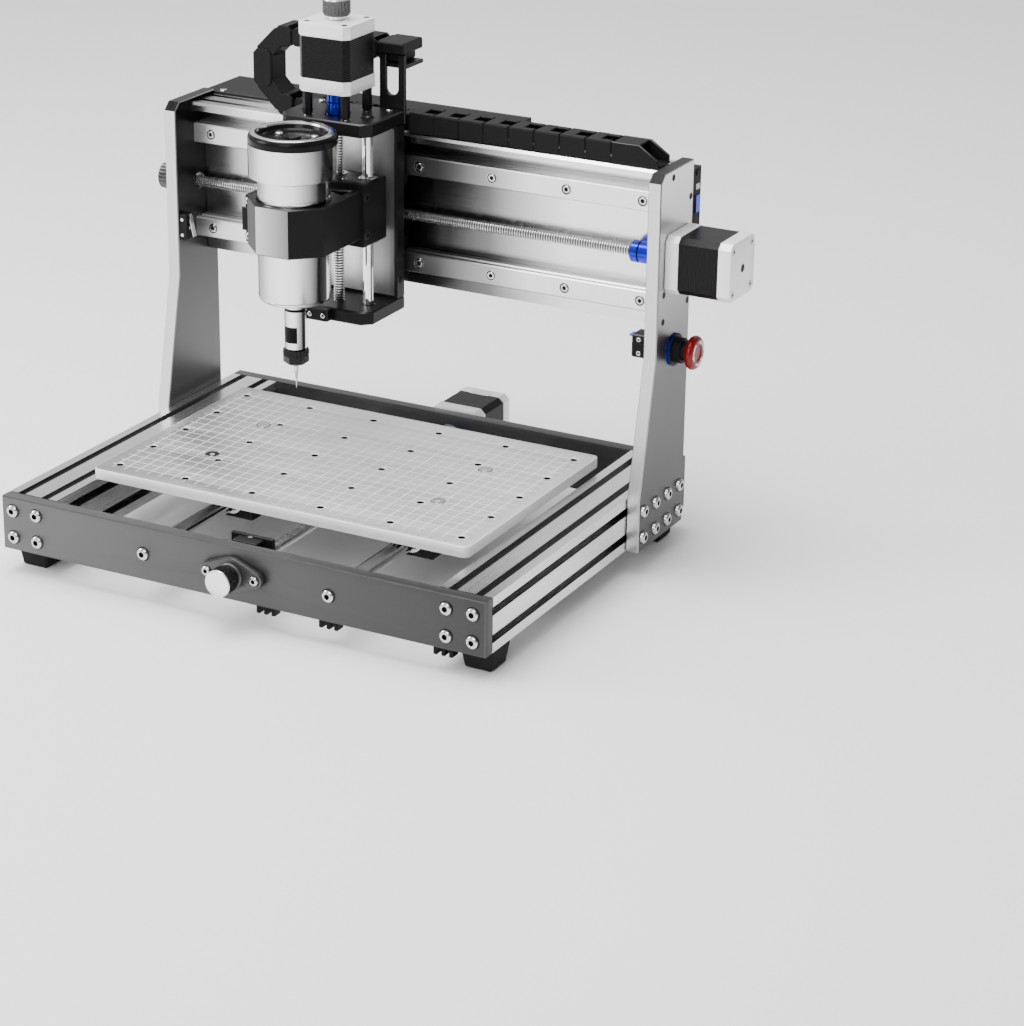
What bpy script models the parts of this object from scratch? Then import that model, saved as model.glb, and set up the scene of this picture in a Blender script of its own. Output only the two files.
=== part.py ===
"""Desktop CNC router: a slotted-profile base, a bed that slides front to back, and a gantry whose
carriage lifts a chrome spindle. Lengths are in millimetres here and become metres as they are used.
X runs to the right, Y to the rear and Z up. The layout frame has its zero at the middle of the base on
the floor; one empty then shifts the whole machine so that its bounding box stands on the origin."""

import math

import bmesh
import bpy
from mathutils import Matrix, Vector

MM = 0.001
FIT = 0.3  # gap between pieces that touch
RUN = 0.3  # gap round anything that turns or slides
OVERCUT = 2.0  # how far a cutter sticks out of what it cuts

# Base
BASE_WIDTH = 390.0
BASE_LENGTH = 314.0
PROFILE_SIZE = 40.0
PROFILE_PITCH = 20.0
SLOT_MOUTH = 6.2
SLOT_INSIDE = 11.0
SLOT_LIP = 2.0
SLOT_DEPTH = 6.0
END_PLATE_THICK = 10.0
FOOT_HEIGHT = 17.5
FOOT_TOP = 26.0
FOOT_BOTTOM = 21.0
FOOT_INSET = 13.5

# Bed and its drive
BED_WIDTH = 306.0
BED_LENGTH = 202.0
BED_THICK = 8.0
BED_UNDERSIDE = 61.3
BED_REST_Y = -4.0
BED_CORNER = 5.0
BED_HOLE = 6.0
BED_HOLE_COLUMNS = 6
BED_HOLE_ROWS = 5
BED_HOLE_PITCH_X = 56.0
BED_HOLE_PITCH_Y = 42.5
ROD_SPACING = 150.0
ROD_DIAMETER = 12.0
ROD_Z = 37.5
BED_BLOCK_WIDTH = 34.0
BED_BLOCK_LENGTH = 80.0
BED_BLOCK_DROP = 12.0
BED_NUT_WIDTH = 32.0
BED_NUT_LENGTH = 28.0
BED_SCREW_Z = 38.5

# Lead screws, couplings, knobs and motors
SCREW_DIAMETER = 8.0
COUPLING_DIAMETER = 16.0
COUPLING_LENGTH = 22.0
KNOB_DIAMETER = 20.0
KNOB_LENGTH = 12.0
KNOB_HUB = 12.0
MOTOR_SQUARE = 42.3
MOTOR_CHAMFER = 4.0
MOTOR_LENGTH = 50.0
MOTOR_BOSS = 22.0
MOTOR_BOSS_HEIGHT = 2.0
MOTOR_SHAFT = 5.0
MOTOR_BOLT_PITCH = 31.0

# Gantry
UPRIGHT_THICK = 10.0
UPRIGHT_TOP = 291.5
UPRIGHT_FOOT_FRONT = 55.6
UPRIGHT_FRONT = 76.0
UPRIGHT_REAR = 130.0
UPRIGHT_TAPER_TOP = 158.0
UPRIGHT_CHAMFER = 6.0
BEAM_FACE = 115.0
BEAM_LIP_FRONT = 97.0
BEAM_LIP_HEIGHT = 6.0
BEAM_BOTTOM = 170.5
BEAM_TOP = 288.5
BEAM_WALL = 3.0
BEAM_GROOVE = 5.0
RAIL_WIDTH = 15.0
RAIL_FRONT = 100.0
RAIL_UPPER_Z = 264.5
RAIL_LOWER_Z = 191.2
GANTRY_SCREW_Y = 106.0
GANTRY_SCREW_Z = 225.6
GANTRY_KNOB_OUT = 22.0
STOP_Y = 106.0
STOP_Z = 157.5
STOP_BARREL = 18.6
STOP_COLLAR = 24.0
STOP_COLLAR_THICK = 1.8
STOP_NECK_OUT = 7.9
STOP_PLUNGER = 14.0
STOP_TRAVEL = 4.0
STOP_HEAD = 25.0
STOP_HEAD_THICK = 6.5
STOP_CONTACTS = 20.0
CONTROLLER_FRONT = 130.3
CONTROLLER_REAR = 181.0
CONTROLLER_RIGHT = 50.0
CONTROLLER_BOTTOM = 192.0
CONTROLLER_TOP = 290.0
CONTROLLER_WALL = 2.0
TERMINAL_BOX_REAR = 143.0
TERMINAL_BOX_TOP = 284.0

# Carriage
CARRIAGE_X = -45.2
FRAME_WIDTH = 74.8
FRAME_FRONT = 40.0
FRAME_BACK = 92.0
FRAME_BOTTOM = 157.5
FRAME_TOP = 307.0
FRAME_PLATE = 10.0
FRAME_CORNER = 7.0
RAIL_BLOCK_LENGTH = 60.0
RAIL_BLOCK_WIDTH = 34.0
RAIL_BLOCK_BACK = 110.7
NUT_BLOCK_WIDTH = 24.0
NUT_BLOCK_HEIGHT = 26.0
NUT_BLOCK_BACK = 112.0
LIFT_Y = 61.2
LIFT_SHAFT_DIAMETER = 8.0
LIFT_SHAFT_SPACING = 49.6
STANDOFF_DIAMETER = 7.0
STANDOFF_HEIGHT = 18.0
BRACKET_WIDTH = 21.0
BRACKET_THICK = 3.0
BRACKET_SLOT = 10.0
BRACKET_LEFT = -28.5

# Lift slide and spindle
SLIDE_WIDTH = 66.4
SLIDE_FRONT = 41.0
SLIDE_BACK = 73.0
SLIDE_BOTTOM = 216.0
SLIDE_TOP = 263.0
CLAMP_BOTTOM = 223.0
CLAMP_TOP = 259.0
CLAMP_FRONT = -30.0
CLAMP_HALF_WIDTH = 31.5
CLAMP_FACET = 13.3
SPINDLE_DIAMETER = 52.0
SPINDLE_BOTTOM = 184.5
SPINDLE_CAP_DIAMETER = 64.0
SPINDLE_CAP_BOTTOM = 276.0
SPINDLE_TOP = 308.0
SPINDLE_BORE_DEPTH = 14.0
SHAFT_DIAMETER = 16.0
COLLET_NUT_DIAMETER = 19.0
COLLET_NUT_TOP = 147.2
COLLET_NUT_HEIGHT = 11.2
BIT_DIAMETER = 3.2
BIT_TIP = 116.8

# Cable chain
CHAIN_FRONT = 98.5
CHAIN_WIDTH = 21.5
CHAIN_HEIGHT = 15.5
CHAIN_WALL = 2.2
CHAIN_BOTTOM = 288.8
CHAIN_BEND_X = -106.7
CHAIN_BEND_RADIUS = 33.3
CHAIN_PITCH = 19.5
CHAIN_FIXED_LEFT = -8.0
CHAIN_FIXED_RIGHT = 191.0
CHAIN_TAPER = 36.0
CHAIN_UPPER_LEFT = -56.0
CHAIN_UPPER_RIGHT = -8.0
CHAIN_TAIL_RIGHT = 45.0
CHAIN_TAIL_TOP_RIGHT = -48.0

# Limit switches
SWITCH_LENGTH = 20.0
SWITCH_THICK = 6.0
SWITCH_DEPTH = 10.0
LEVER_THICK = 0.6
LEVER_LENGTH = 17.0
LEVER_LEAN = 3.8
LEVER_WIDTH = 4.0
SIDE_SWITCH_Y = 82.0
SIDE_SWITCH_Z = 206.0
BED_SWITCH_WIDTH = 34.0
BED_SWITCH_BOTTOM = 46.0
BED_SWITCH_TOP = 58.0

# Worked out from the sizes above
HALF_WIDTH = BASE_WIDTH / 2
HALF_LENGTH = BASE_LENGTH / 2
BASE_BOTTOM = FOOT_HEIGHT + FIT
BASE_TOP = BASE_BOTTOM + PROFILE_SIZE
INNER_HALF_LENGTH = HALF_LENGTH - END_PLATE_THICK
UPRIGHT_INNER = HALF_WIDTH + FIT
UPRIGHT_OUTER = UPRIGHT_INNER + UPRIGHT_THICK
BED_MOTOR_REAR = HALF_LENGTH + FIT + MOTOR_LENGTH
BED_KNOB_FRONT = -HALF_LENGTH - 22.0
GANTRY_MOTOR_RIGHT = UPRIGHT_OUTER + FIT + MOTOR_LENGTH
GANTRY_KNOB_LEFT = -UPRIGHT_OUTER - GANTRY_KNOB_OUT
LIFT_MOTOR_BOTTOM = FRAME_TOP + 2 * FIT + STANDOFF_HEIGHT
LIFT_MOTOR_TOP = LIFT_MOTOR_BOTTOM + MOTOR_LENGTH
CHAIN_REAR = CHAIN_FRONT + CHAIN_WIDTH
CHAIN_UPPER_BOTTOM = CHAIN_BOTTOM + 2 * CHAIN_BEND_RADIUS - CHAIN_HEIGHT
SWITCH_FACE = -UPRIGHT_INNER + FIT + SWITCH_THICK
CENTRE_X = (GANTRY_MOTOR_RIGHT + GANTRY_KNOB_LEFT) / 2
CENTRE_Y = (BED_MOTOR_REAR + BED_KNOB_FRONT) / 2

COLOURS = {
    "dark_anodised": ((0.085, 0.088, 0.092), 0.42, 0.9),
    "silver_anodised": ((0.72, 0.73, 0.75), 0.34, 1.0),
    "bright_steel": ((0.80, 0.80, 0.82), 0.16, 1.0),
    "chrome": ((0.86, 0.86, 0.88), 0.06, 1.0),
    "black_metal": ((0.02, 0.02, 0.022), 0.35, 0.6),
    "black_plastic": ((0.015, 0.015, 0.016), 0.5, 0.0),
    "black_rubber": ((0.012, 0.012, 0.012), 0.8, 0.0),
    "blue_anodised": ((0.01, 0.03, 0.55), 0.25, 0.9),
    "red_plastic": ((0.62, 0.01, 0.01), 0.3, 0.0),
    "brass": ((0.70, 0.52, 0.22), 0.3, 1.0),
    "motor": ((0.60, 0.60, 0.61), 0.4, 0.8),
}

for old in list(bpy.data.objects):
    bpy.data.objects.remove(old)


def collection(name):
    made = bpy.data.collections.new(name)
    bpy.context.scene.collection.children.link(made)
    return made


PARTS = collection("cnc_router")
CUTTERS = collection("cutters")


def material(node, finish):
    """A part's own Principled material in one of the machine's finishes."""
    colour, roughness, metallic = COLOURS[finish]
    made = bpy.data.materials.new(node + "_" + finish)
    made.use_nodes = True
    shader = made.node_tree.nodes["Principled BSDF"]
    shader.inputs["Base Color"].default_value = (*colour, 1)
    shader.inputs["Roughness"].default_value = roughness
    shader.inputs["Metallic"].default_value = metallic
    return made


def object_from(mesh, name, group=None):
    made = bpy.data.objects.new(name, mesh)
    (group or PARTS).objects.link(made)
    return made


def finish_mesh(shape, name):
    """Turns a bmesh into a mesh with its normals outwards and its sharp edges kept."""
    bmesh.ops.recalc_face_normals(shape, faces=shape.faces)
    mesh = bpy.data.meshes.new(name)
    shape.to_mesh(mesh)
    shape.free()
    mesh.shade_smooth()
    mesh.set_sharp_from_angle(angle=math.radians(32))
    return mesh


def box(name, low, high, group=None):
    """A block between two layout corners, with its origin at its middle."""
    low, high = Vector(low), Vector(high)
    shape = bmesh.new()
    bmesh.ops.create_cube(shape, size=1.0)
    bmesh.ops.scale(shape, vec=(high - low) * MM, verts=shape.verts)
    made = object_from(finish_mesh(shape, name), name, group)
    made.location = (low + high) / 2 * MM
    return made


AXIS_TURN = {
    "X": Matrix(((0, 0, 1), (1, 0, 0), (0, 1, 0))).to_4x4(),
    "Y": Matrix(((1, 0, 0), (0, 0, -1), (0, 1, 0))).to_4x4(),
    "Z": Matrix.Identity(4),
}


def cylinder(name, axis, centre, start, end, diameter, sides=24, group=None):
    """A bar along an axis. centre is its middle's place on the other two axes, in their order."""
    shape = bmesh.new()
    bmesh.ops.create_cone(
        shape,
        cap_ends=True,
        segments=sides,
        radius1=diameter / 2 * MM,
        radius2=diameter / 2 * MM,
        depth=abs(end - start) * MM,
    )
    bmesh.ops.rotate(shape, matrix=AXIS_TURN[axis].to_3x3(), verts=shape.verts)
    made = object_from(finish_mesh(shape, name), name, group)
    middle = (start + end) / 2
    first, second = centre
    places = {"X": (middle, first, second), "Y": (first, middle, second), "Z": (first, second, middle)}
    made.location = Vector(places[axis]) * MM
    return made


def outline(name, axis, rings, start, end, group=None):
    """A flat outline, with any holes as further rings, extruded along an axis. A ring's points are
    (Y, Z) along X, (X, Z) along Y and (X, Y) along Z, in layout millimetres."""
    curve = bpy.data.curves.new(name, "CURVE")
    curve.dimensions = "2D"
    curve.fill_mode = "BOTH"
    curve.extrude = abs(end - start) / 2 * MM
    for ring in rings:
        spline = curve.splines.new("POLY")
        spline.points.add(len(ring) - 1)
        for point, (first, second) in zip(spline.points, ring):
            point.co = (first * MM, second * MM, 0, 1)
        spline.use_cyclic_u = True
    source = object_from(curve, name + "_curve", CUTTERS)
    source.matrix_world = AXIS_TURN[axis]
    bpy.context.view_layer.update()
    graph = bpy.context.evaluated_depsgraph_get()
    mesh = bpy.data.meshes.new_from_object(source.evaluated_get(graph))
    shape = bmesh.new()
    shape.from_mesh(mesh)
    bmesh.ops.remove_doubles(shape, verts=shape.verts, dist=1e-6)
    bmesh.ops.transform(shape, matrix=AXIS_TURN[axis], verts=shape.verts)
    middle = (start + end) / 2 * MM
    along = {"X": (middle, 0, 0), "Y": (0, middle, 0), "Z": (0, 0, middle)}[axis]
    bmesh.ops.translate(shape, vec=along, verts=shape.verts)
    bpy.data.objects.remove(source)
    bpy.data.curves.remove(curve)
    made = object_from(finish_mesh(shape, name), name, group)
    recentre(made)
    return made


def recentre(piece):
    """Moves a piece's origin to the middle of its box, leaving the piece where it is."""
    corners = [Vector(corner) for corner in piece.bound_box]
    middle = (corners[0] + corners[6]) / 2
    piece.data.transform(Matrix.Translation(-middle))
    piece.location += middle


def turned(name, axis, centre, profile, sides=32, group=None):
    """A turned piece. The profile holds (radius, place along the axis), from the far end down the
    outer side to the near end; a radius of 0 closes an end on the axis. Along Y the far end is the
    front one, and a place is minus its Y."""
    shape = bmesh.new()
    points = [shape.verts.new((radius * MM, 0, along * MM)) for radius, along in profile]
    for first, second in zip(points, points[1:]):
        shape.edges.new((first, second))
    mesh = bpy.data.meshes.new(name)
    shape.to_mesh(mesh)
    shape.free()
    made = object_from(mesh, name, group)
    spin = made.modifiers.new("turn", "SCREW")
    spin.axis = "Z"
    spin.steps = spin.render_steps = sides
    spin.use_merge_vertices = True
    spin.merge_threshold = 0.00001
    first, second = centre
    places = {"X": (0, first, second), "Y": (first, 0, second), "Z": (first, second, 0)}
    made.matrix_world = Matrix.Translation(Vector(places[axis]) * MM) @ AXIS_TURN[axis]
    return made


def boolean(piece, operation, others):
    """Cuts from or joins to a piece; what it is cut by goes with the cutters."""
    for other in others:
        step = piece.modifiers.new(other.name, "BOOLEAN")
        step.operation = operation
        step.solver = "EXACT"
        step.object = other
        other.hide_render = True
        other.display_type = "WIRE"
        if other.name in PARTS.objects:
            PARTS.objects.unlink(other)
            CUTTERS.objects.link(other)
    return piece


def bevel(piece, width, segments=1, angle=40):
    edge = piece.modifiers.new("edge", "BEVEL")
    edge.width = width * MM
    edge.segments = segments
    edge.limit_method = "ANGLE"
    edge.angle_limit = math.radians(angle)
    return piece


def empty(name, at=(0, 0, 0), parent=None):
    made = bpy.data.objects.new(name, None)
    made.empty_display_size = 0.02
    PARTS.objects.link(made)
    made.location = Vector(at) * MM
    if parent:
        made.parent = parent
        made.location -= HOLDER_AT[parent.name]
    HOLDER_AT[made.name] = Vector(at) * MM
    return made


HOLDER_AT = {}


def fix(piece, holder, finish):
    """Names a piece's finish and hangs it on the empty of its body, where it already lies."""
    piece.data.materials.append(material(piece.name, finish))
    piece.parent = holder
    piece.location -= HOLDER_AT[holder.name]
    for step in piece.modifiers:
        if step.type == "BOOLEAN":
            cutter = step.object
            if cutter.parent is None:
                cutter.parent = holder
                cutter.location -= HOLDER_AT[holder.name]
    return piece


# One empty for each body. The machine's own empty carries the shift to its bounding box.
HOLDER_AT["machine"] = Vector((0, 0, 0))
machine = empty("machine")
machine.location = Vector((-CENTRE_X, -CENTRE_Y, 0)) * MM
bed_slide = empty("bed_slide", (0, BED_REST_Y, BED_UNDERSIDE), machine)
bed_screw_axis = empty("bed_screw_axis", (0, 0, BED_SCREW_Z), machine)
gantry_screw_axis = empty("gantry_screw_axis", (0, GANTRY_SCREW_Y, GANTRY_SCREW_Z), machine)
carriage = empty("carriage", (CARRIAGE_X, FRAME_BACK, GANTRY_SCREW_Z), machine)
chain_roll = empty("chain_roll", (CHAIN_BEND_X, CHAIN_REAR, CHAIN_BOTTOM + CHAIN_BEND_RADIUS), machine)
lift_screw_axis = empty("lift_screw_axis", (CARRIAGE_X, LIFT_Y, FRAME_BOTTOM), machine)
lift_slide = empty("lift_slide", (CARRIAGE_X, LIFT_Y, SLIDE_BOTTOM), machine)
spindle_axis = empty("spindle_axis", (CARRIAGE_X, 0, SPINDLE_BOTTOM), machine)
stop_axis = empty("stop_axis", (UPRIGHT_OUTER, STOP_Y, STOP_Z), machine)
lever_hinge = (SWITCH_FACE + FIT + LEVER_THICK / 2, SIDE_SWITCH_Y, SIDE_SWITCH_Z - LEVER_THICK)
side_lever_axis = empty("side_lever_axis", lever_hinge, machine)


def circle(centre_x, centre_y, radius, start, end, steps):
    """Points of an arc between two angles in degrees, both ends included."""
    turn = (math.radians(start + (end - start) * step / steps) for step in range(steps + 1))
    return [(centre_x + radius * math.cos(a), centre_y + radius * math.sin(a)) for a in turn]


# ---- Base frame ----


def slotted_ring(centre_x, centre_z):
    """The profile's outer ring: two T slots on each of its four sides."""
    half = PROFILE_SIZE / 2
    side = []
    for slot in (-PROFILE_PITCH / 2, PROFILE_PITCH / 2):
        side += [
            (slot - SLOT_MOUTH / 2, -half),
            (slot - SLOT_MOUTH / 2, -half + SLOT_LIP),
            (slot - SLOT_INSIDE / 2 + 1.2, -half + SLOT_LIP),
            (slot - SLOT_MOUTH / 2, -half + SLOT_DEPTH),
            (slot + SLOT_MOUTH / 2, -half + SLOT_DEPTH),
            (slot + SLOT_INSIDE / 2 - 1.2, -half + SLOT_LIP),
            (slot + SLOT_MOUTH / 2, -half + SLOT_LIP),
            (slot + SLOT_MOUTH / 2, -half),
        ]
    side.append((half, -half))
    ring = []
    for quarter in range(4):
        turn = Matrix.Rotation(quarter * math.pi / 2, 2)
        ring += [turn @ Vector(point) for point in side]
    return [(centre_x + point.x, centre_z + point.y) for point in ring]


def side_profile(name, side):
    middle = side * (HALF_WIDTH - PROFILE_SIZE / 2)
    centre = BASE_BOTTOM + PROFILE_SIZE / 2
    rings = [slotted_ring(middle, centre)]
    rings.append(circle(middle, centre, 4.0, 360, 30, 11))
    reach = INNER_HALF_LENGTH - FIT
    return outline(name, "Y", rings, -reach, reach)


def end_plate(name, side):
    near, far = side * INNER_HALF_LENGTH, side * HALF_LENGTH
    plate = box(
        name,
        (-HALF_WIDTH, min(near, far), BASE_BOTTOM),
        (HALF_WIDTH, max(near, far), BASE_TOP),
    )
    bevel(plate, 0.8)
    opening = MOTOR_BOSS + 1 if side > 0 else SCREW_DIAMETER + 3
    hole = cylinder(
        name + "_hole",
        "Y",
        (0, BED_SCREW_Z),
        side * (INNER_HALF_LENGTH - OVERCUT),
        side * (HALF_LENGTH + OVERCUT),
        opening,
    )
    return boolean(plate, "DIFFERENCE", [hole])


def foot(name, side_x, side_y):
    """A tapered rubber foot under the end of a side profile."""
    shape = bmesh.new()
    bmesh.ops.create_cube(shape, size=1.0)
    bmesh.ops.scale(shape, vec=(FOOT_TOP * MM, FOOT_TOP * MM, FOOT_HEIGHT * MM), verts=shape.verts)
    bottom = [vert for vert in shape.verts if vert.co.z < 0]
    taper = FOOT_BOTTOM / FOOT_TOP
    bmesh.ops.scale(shape, vec=(taper, taper, 1), verts=bottom)
    made = object_from(finish_mesh(shape, name), name)
    made.location = (
        Vector(
            (
                side_x * (HALF_WIDTH - FOOT_INSET - 0.5),
                side_y * (HALF_LENGTH - FOOT_INSET - FOOT_TOP / 2),
                FOOT_HEIGHT / 2,
            )
        )
        * MM
    )
    return bevel(made, 1.5)


fix(end_plate("front_plate", -1), machine, "dark_anodised")
fix(end_plate("rear_plate", 1), machine, "dark_anodised")
for side_name, side_x in (("left", -1), ("right", 1)):
    fix(side_profile("side_profile_" + side_name, side_x), machine, "silver_anodised")
    for end_name, side_y in (("front", -1), ("rear", 1)):
        fix(foot("foot_" + end_name + "_" + side_name, side_x, side_y), machine, "black_rubber")
    guide = cylinder(
        "bed_rod_" + side_name,
        "Y",
        (side_x * ROD_SPACING / 2, ROD_Z),
        -INNER_HALF_LENGTH + FIT,
        INNER_HALF_LENGTH - FIT,
        ROD_DIAMETER,
    )
    fix(bevel(guide, 0.5), machine, "bright_steel")

# ---- Bed drive: bearing flange, motor, screw, coupling, knob ----

FLANGE_FACE = -HALF_LENGTH - FIT
FLANGE_THICK = 5.0
FLANGE_EAR_PITCH = 38.4
FLANGE_EAR = 6.0
FLANGE_HUB = 26.0
FLANGE_HUB_HEIGHT = 7.0


def bearing_flange():
    """Rhombic two-bolt flange that carries the front end of the bed's lead screw."""
    ear_x = FLANGE_EAR_PITCH / 2
    lean = math.degrees(math.acos((FLANGE_HUB / 2 - FLANGE_EAR) / ear_x))
    ring = circle(0, BED_SCREW_Z, FLANGE_HUB / 2, lean, 180 - lean, 6)
    ring += circle(-ear_x, BED_SCREW_Z, FLANGE_EAR, 180 - lean, 180 + lean, 6)
    ring += circle(0, BED_SCREW_Z, FLANGE_HUB / 2, 180 + lean, 360 - lean, 6)
    ring += circle(ear_x, BED_SCREW_Z, FLANGE_EAR, -lean, lean, 6)
    flange = outline("bed_bearing_flange", "Y", [ring], FLANGE_FACE - FLANGE_THICK, FLANGE_FACE)
    hub = turned(
        "bed_bearing_hub",
        "Y",
        (0, BED_SCREW_Z),
        [
            (0, -FLANGE_FACE + FLANGE_HUB_HEIGHT),
            (FLANGE_HUB / 2 - 3, -FLANGE_FACE + FLANGE_HUB_HEIGHT),
            (FLANGE_HUB / 2 - 1, -FLANGE_FACE + FLANGE_THICK - 1),
            (0, -FLANGE_FACE + FLANGE_THICK - 1),
        ],
        24,
    )
    boolean(flange, "UNION", [hub])
    bore = cylinder(
        "bed_bearing_bore",
        "Y",
        (0, BED_SCREW_Z),
        FLANGE_FACE + OVERCUT,
        FLANGE_FACE - FLANGE_HUB_HEIGHT - OVERCUT,
        SCREW_DIAMETER + 2 * RUN,
    )
    return boolean(flange, "DIFFERENCE", [bore])


def motor(name, axis, centre, face, way, front_shaft=20.0, rear_shaft=0.0):
    """A square stepping motor whose mounting face is at `face`; `way` is 1 where its body runs along
    +axis. Its boss and its shaft stand out the other way."""
    half, cut = MOTOR_SQUARE / 2, MOTOR_SQUARE / 2 - MOTOR_CHAMFER
    corners = [(half, -cut), (half, cut), (cut, half), (-cut, half)]
    corners += [(-half, cut), (-half, -cut), (-cut, -half), (cut, -half)]
    ring = [(centre[0] + first, centre[1] + second) for first, second in corners]
    low, high = sorted((face, face + way * MOTOR_LENGTH))
    body = outline(name, axis, [ring], low, high)
    boss_end = face - way * MOTOR_BOSS_HEIGHT
    boss = cylinder(name + "_boss", axis, centre, face + way, boss_end, MOTOR_BOSS, 32)
    shaft_end = face - way * front_shaft
    shaft = cylinder(name + "_shaft", axis, centre, face + way, shaft_end, MOTOR_SHAFT, 16)
    joined = [boss, shaft]
    if rear_shaft:
        back = face + way * MOTOR_LENGTH
        reach = back + way * rear_shaft
        joined.append(cylinder(name + "_rear_shaft", axis, centre, back - way, reach, MOTOR_SHAFT, 16))
    return boolean(body, "UNION", joined)


def knob(name, axis, centre, tip, way, bore, hub_end):
    """A knurled hand knob: a cap of full diameter from `tip` inwards, then a thinner hub to `hub_end`."""
    cap_end = tip + way * KNOB_LENGTH
    cap = cylinder(name, axis, centre, tip, cap_end, KNOB_DIAMETER, 32)
    bevel(cap, 0.8)
    hub = cylinder(name + "_hub", axis, centre, cap_end - way, hub_end, KNOB_HUB, 24)
    boolean(cap, "UNION", [hub])
    hole = cylinder(name + "_bore", axis, centre, tip + way * 4, hub_end + way * OVERCUT, bore, 20)
    return boolean(cap, "DIFFERENCE", [hole])


def coupling(name, axis, centre, start, end):
    """A clamping tube over a lead screw's end and a motor's shaft."""
    tube = cylinder(name, axis, centre, start, end, COUPLING_DIAMETER, 28)
    bevel(tube, 0.6)
    hole = cylinder(
        name + "_bore",
        axis,
        centre,
        start - math.copysign(OVERCUT, end - start),
        end + math.copysign(OVERCUT, end - start),
        SCREW_DIAMETER + 2 * FIT,
        20,
    )
    return boolean(tube, "DIFFERENCE", [hole])


BED_COUPLING_REAR = INNER_HALF_LENGTH - 4
fix(bearing_flange(), machine, "dark_anodised")
fix(motor("bed_motor", "Y", (0, BED_SCREW_Z), HALF_LENGTH + FIT, 1), machine, "motor")
fix(
    cylinder(
        "bed_lead_screw",
        "Y",
        (0, BED_SCREW_Z),
        BED_KNOB_FRONT + 5,
        BED_COUPLING_REAR - COUPLING_LENGTH / 2,
        SCREW_DIAMETER,
        20,
    ),
    bed_screw_axis,
    "bright_steel",
)
fix(
    coupling(
        "bed_coupling",
        "Y",
        (0, BED_SCREW_Z),
        BED_COUPLING_REAR - COUPLING_LENGTH,
        BED_COUPLING_REAR,
    ),
    bed_screw_axis,
    "blue_anodised",
)
fix(
    knob(
        "bed_knob",
        "Y",
        (0, BED_SCREW_Z),
        BED_KNOB_FRONT,
        1,
        SCREW_DIAMETER + 2 * FIT,
        FLANGE_FACE - FLANGE_HUB_HEIGHT - FIT,
    ),
    bed_screw_axis,
    "bright_steel",
)

# ---- Bed ----


def bed_plate():
    """Flat bed with a grid of threaded holes."""
    plate = box(
        "bed",
        (-BED_WIDTH / 2, BED_REST_Y - BED_LENGTH / 2, BED_UNDERSIDE),
        (BED_WIDTH / 2, BED_REST_Y + BED_LENGTH / 2, BED_UNDERSIDE + BED_THICK),
    )
    corners = plate.modifiers.new("corners", "BEVEL")
    corners.width = BED_CORNER * MM
    corners.segments = 3
    corners.limit_method = "WEIGHT"
    weights = plate.data.attributes.new("bevel_weight_edge", "FLOAT", "EDGE")
    for edge in plate.data.edges:
        first, second = (plate.data.vertices[i].co for i in edge.vertices)
        weights.data[edge.index].value = 1.0 if abs(first.z - second.z) > MM else 0.0
    holes = []
    for column in range(BED_HOLE_COLUMNS):
        for row in range(BED_HOLE_ROWS):
            centre = (
                (column - (BED_HOLE_COLUMNS - 1) / 2) * BED_HOLE_PITCH_X,
                BED_REST_Y + (row - (BED_HOLE_ROWS - 1) / 2) * BED_HOLE_PITCH_Y,
            )
            holes.append(
                cylinder(
                    f"bed_hole_{column}_{row}",
                    "Z",
                    centre,
                    BED_UNDERSIDE - OVERCUT,
                    BED_UNDERSIDE + BED_THICK + OVERCUT,
                    BED_HOLE,
                    12,
                    CUTTERS,
                )
            )
    return cut_together(plate, holes, "bed_holes")


def cut_together(piece, cutters, name):
    """Cuts a piece by many small cutters that don't touch each other, joined as one mesh."""
    shape = bmesh.new()
    for cutter in cutters:
        start = len(shape.verts)
        shape.from_mesh(cutter.data)
        shape.verts.ensure_lookup_table()
        bmesh.ops.translate(shape, vec=cutter.location, verts=shape.verts[start:])
        bpy.data.objects.remove(cutter)
    joined = object_from(finish_mesh(shape, name), name, CUTTERS)
    return boolean(piece, "DIFFERENCE", [joined])


def bed_block(name, side):
    """Bearing housing that slides on a guide rod and carries one side of the bed."""
    middle = side * ROD_SPACING / 2
    front = BED_REST_Y - BED_BLOCK_LENGTH / 2
    block = box(
        name,
        (middle - BED_BLOCK_WIDTH / 2, front, ROD_Z - BED_BLOCK_DROP),
        (middle + BED_BLOCK_WIDTH / 2, front + BED_BLOCK_LENGTH, BED_UNDERSIDE - FIT),
    )
    bevel(block, 1.0)
    hole = cylinder(
        name + "_bore",
        "Y",
        (middle, ROD_Z),
        front - OVERCUT,
        front + BED_BLOCK_LENGTH + OVERCUT,
        ROD_DIAMETER + 2 * RUN,
        24,
    )
    return boolean(block, "DIFFERENCE", [hole])


def bed_nut_block():
    front = BED_REST_Y - BED_NUT_LENGTH / 2
    block = box(
        "bed_nut_block",
        (-BED_NUT_WIDTH / 2, front, BED_SCREW_Z - SCREW_DIAMETER - 3),
        (BED_NUT_WIDTH / 2, front + BED_NUT_LENGTH, BED_UNDERSIDE - FIT),
    )
    bevel(block, 1.0)
    hole = cylinder(
        "bed_nut_bore",
        "Y",
        (0, BED_SCREW_Z),
        front - OVERCUT,
        front + BED_NUT_LENGTH + OVERCUT,
        SCREW_DIAMETER + 2 * RUN,
        20,
    )
    return boolean(block, "DIFFERENCE", [hole])


fix(bed_plate(), bed_slide, "silver_anodised")
fix(bed_block("bed_block_left", -1), bed_slide, "black_metal")
fix(bed_block("bed_block_right", 1), bed_slide, "black_metal")
fix(bed_nut_block(), bed_slide, "black_metal")

# ---- Gantry: uprights, beam, rails ----


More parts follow.
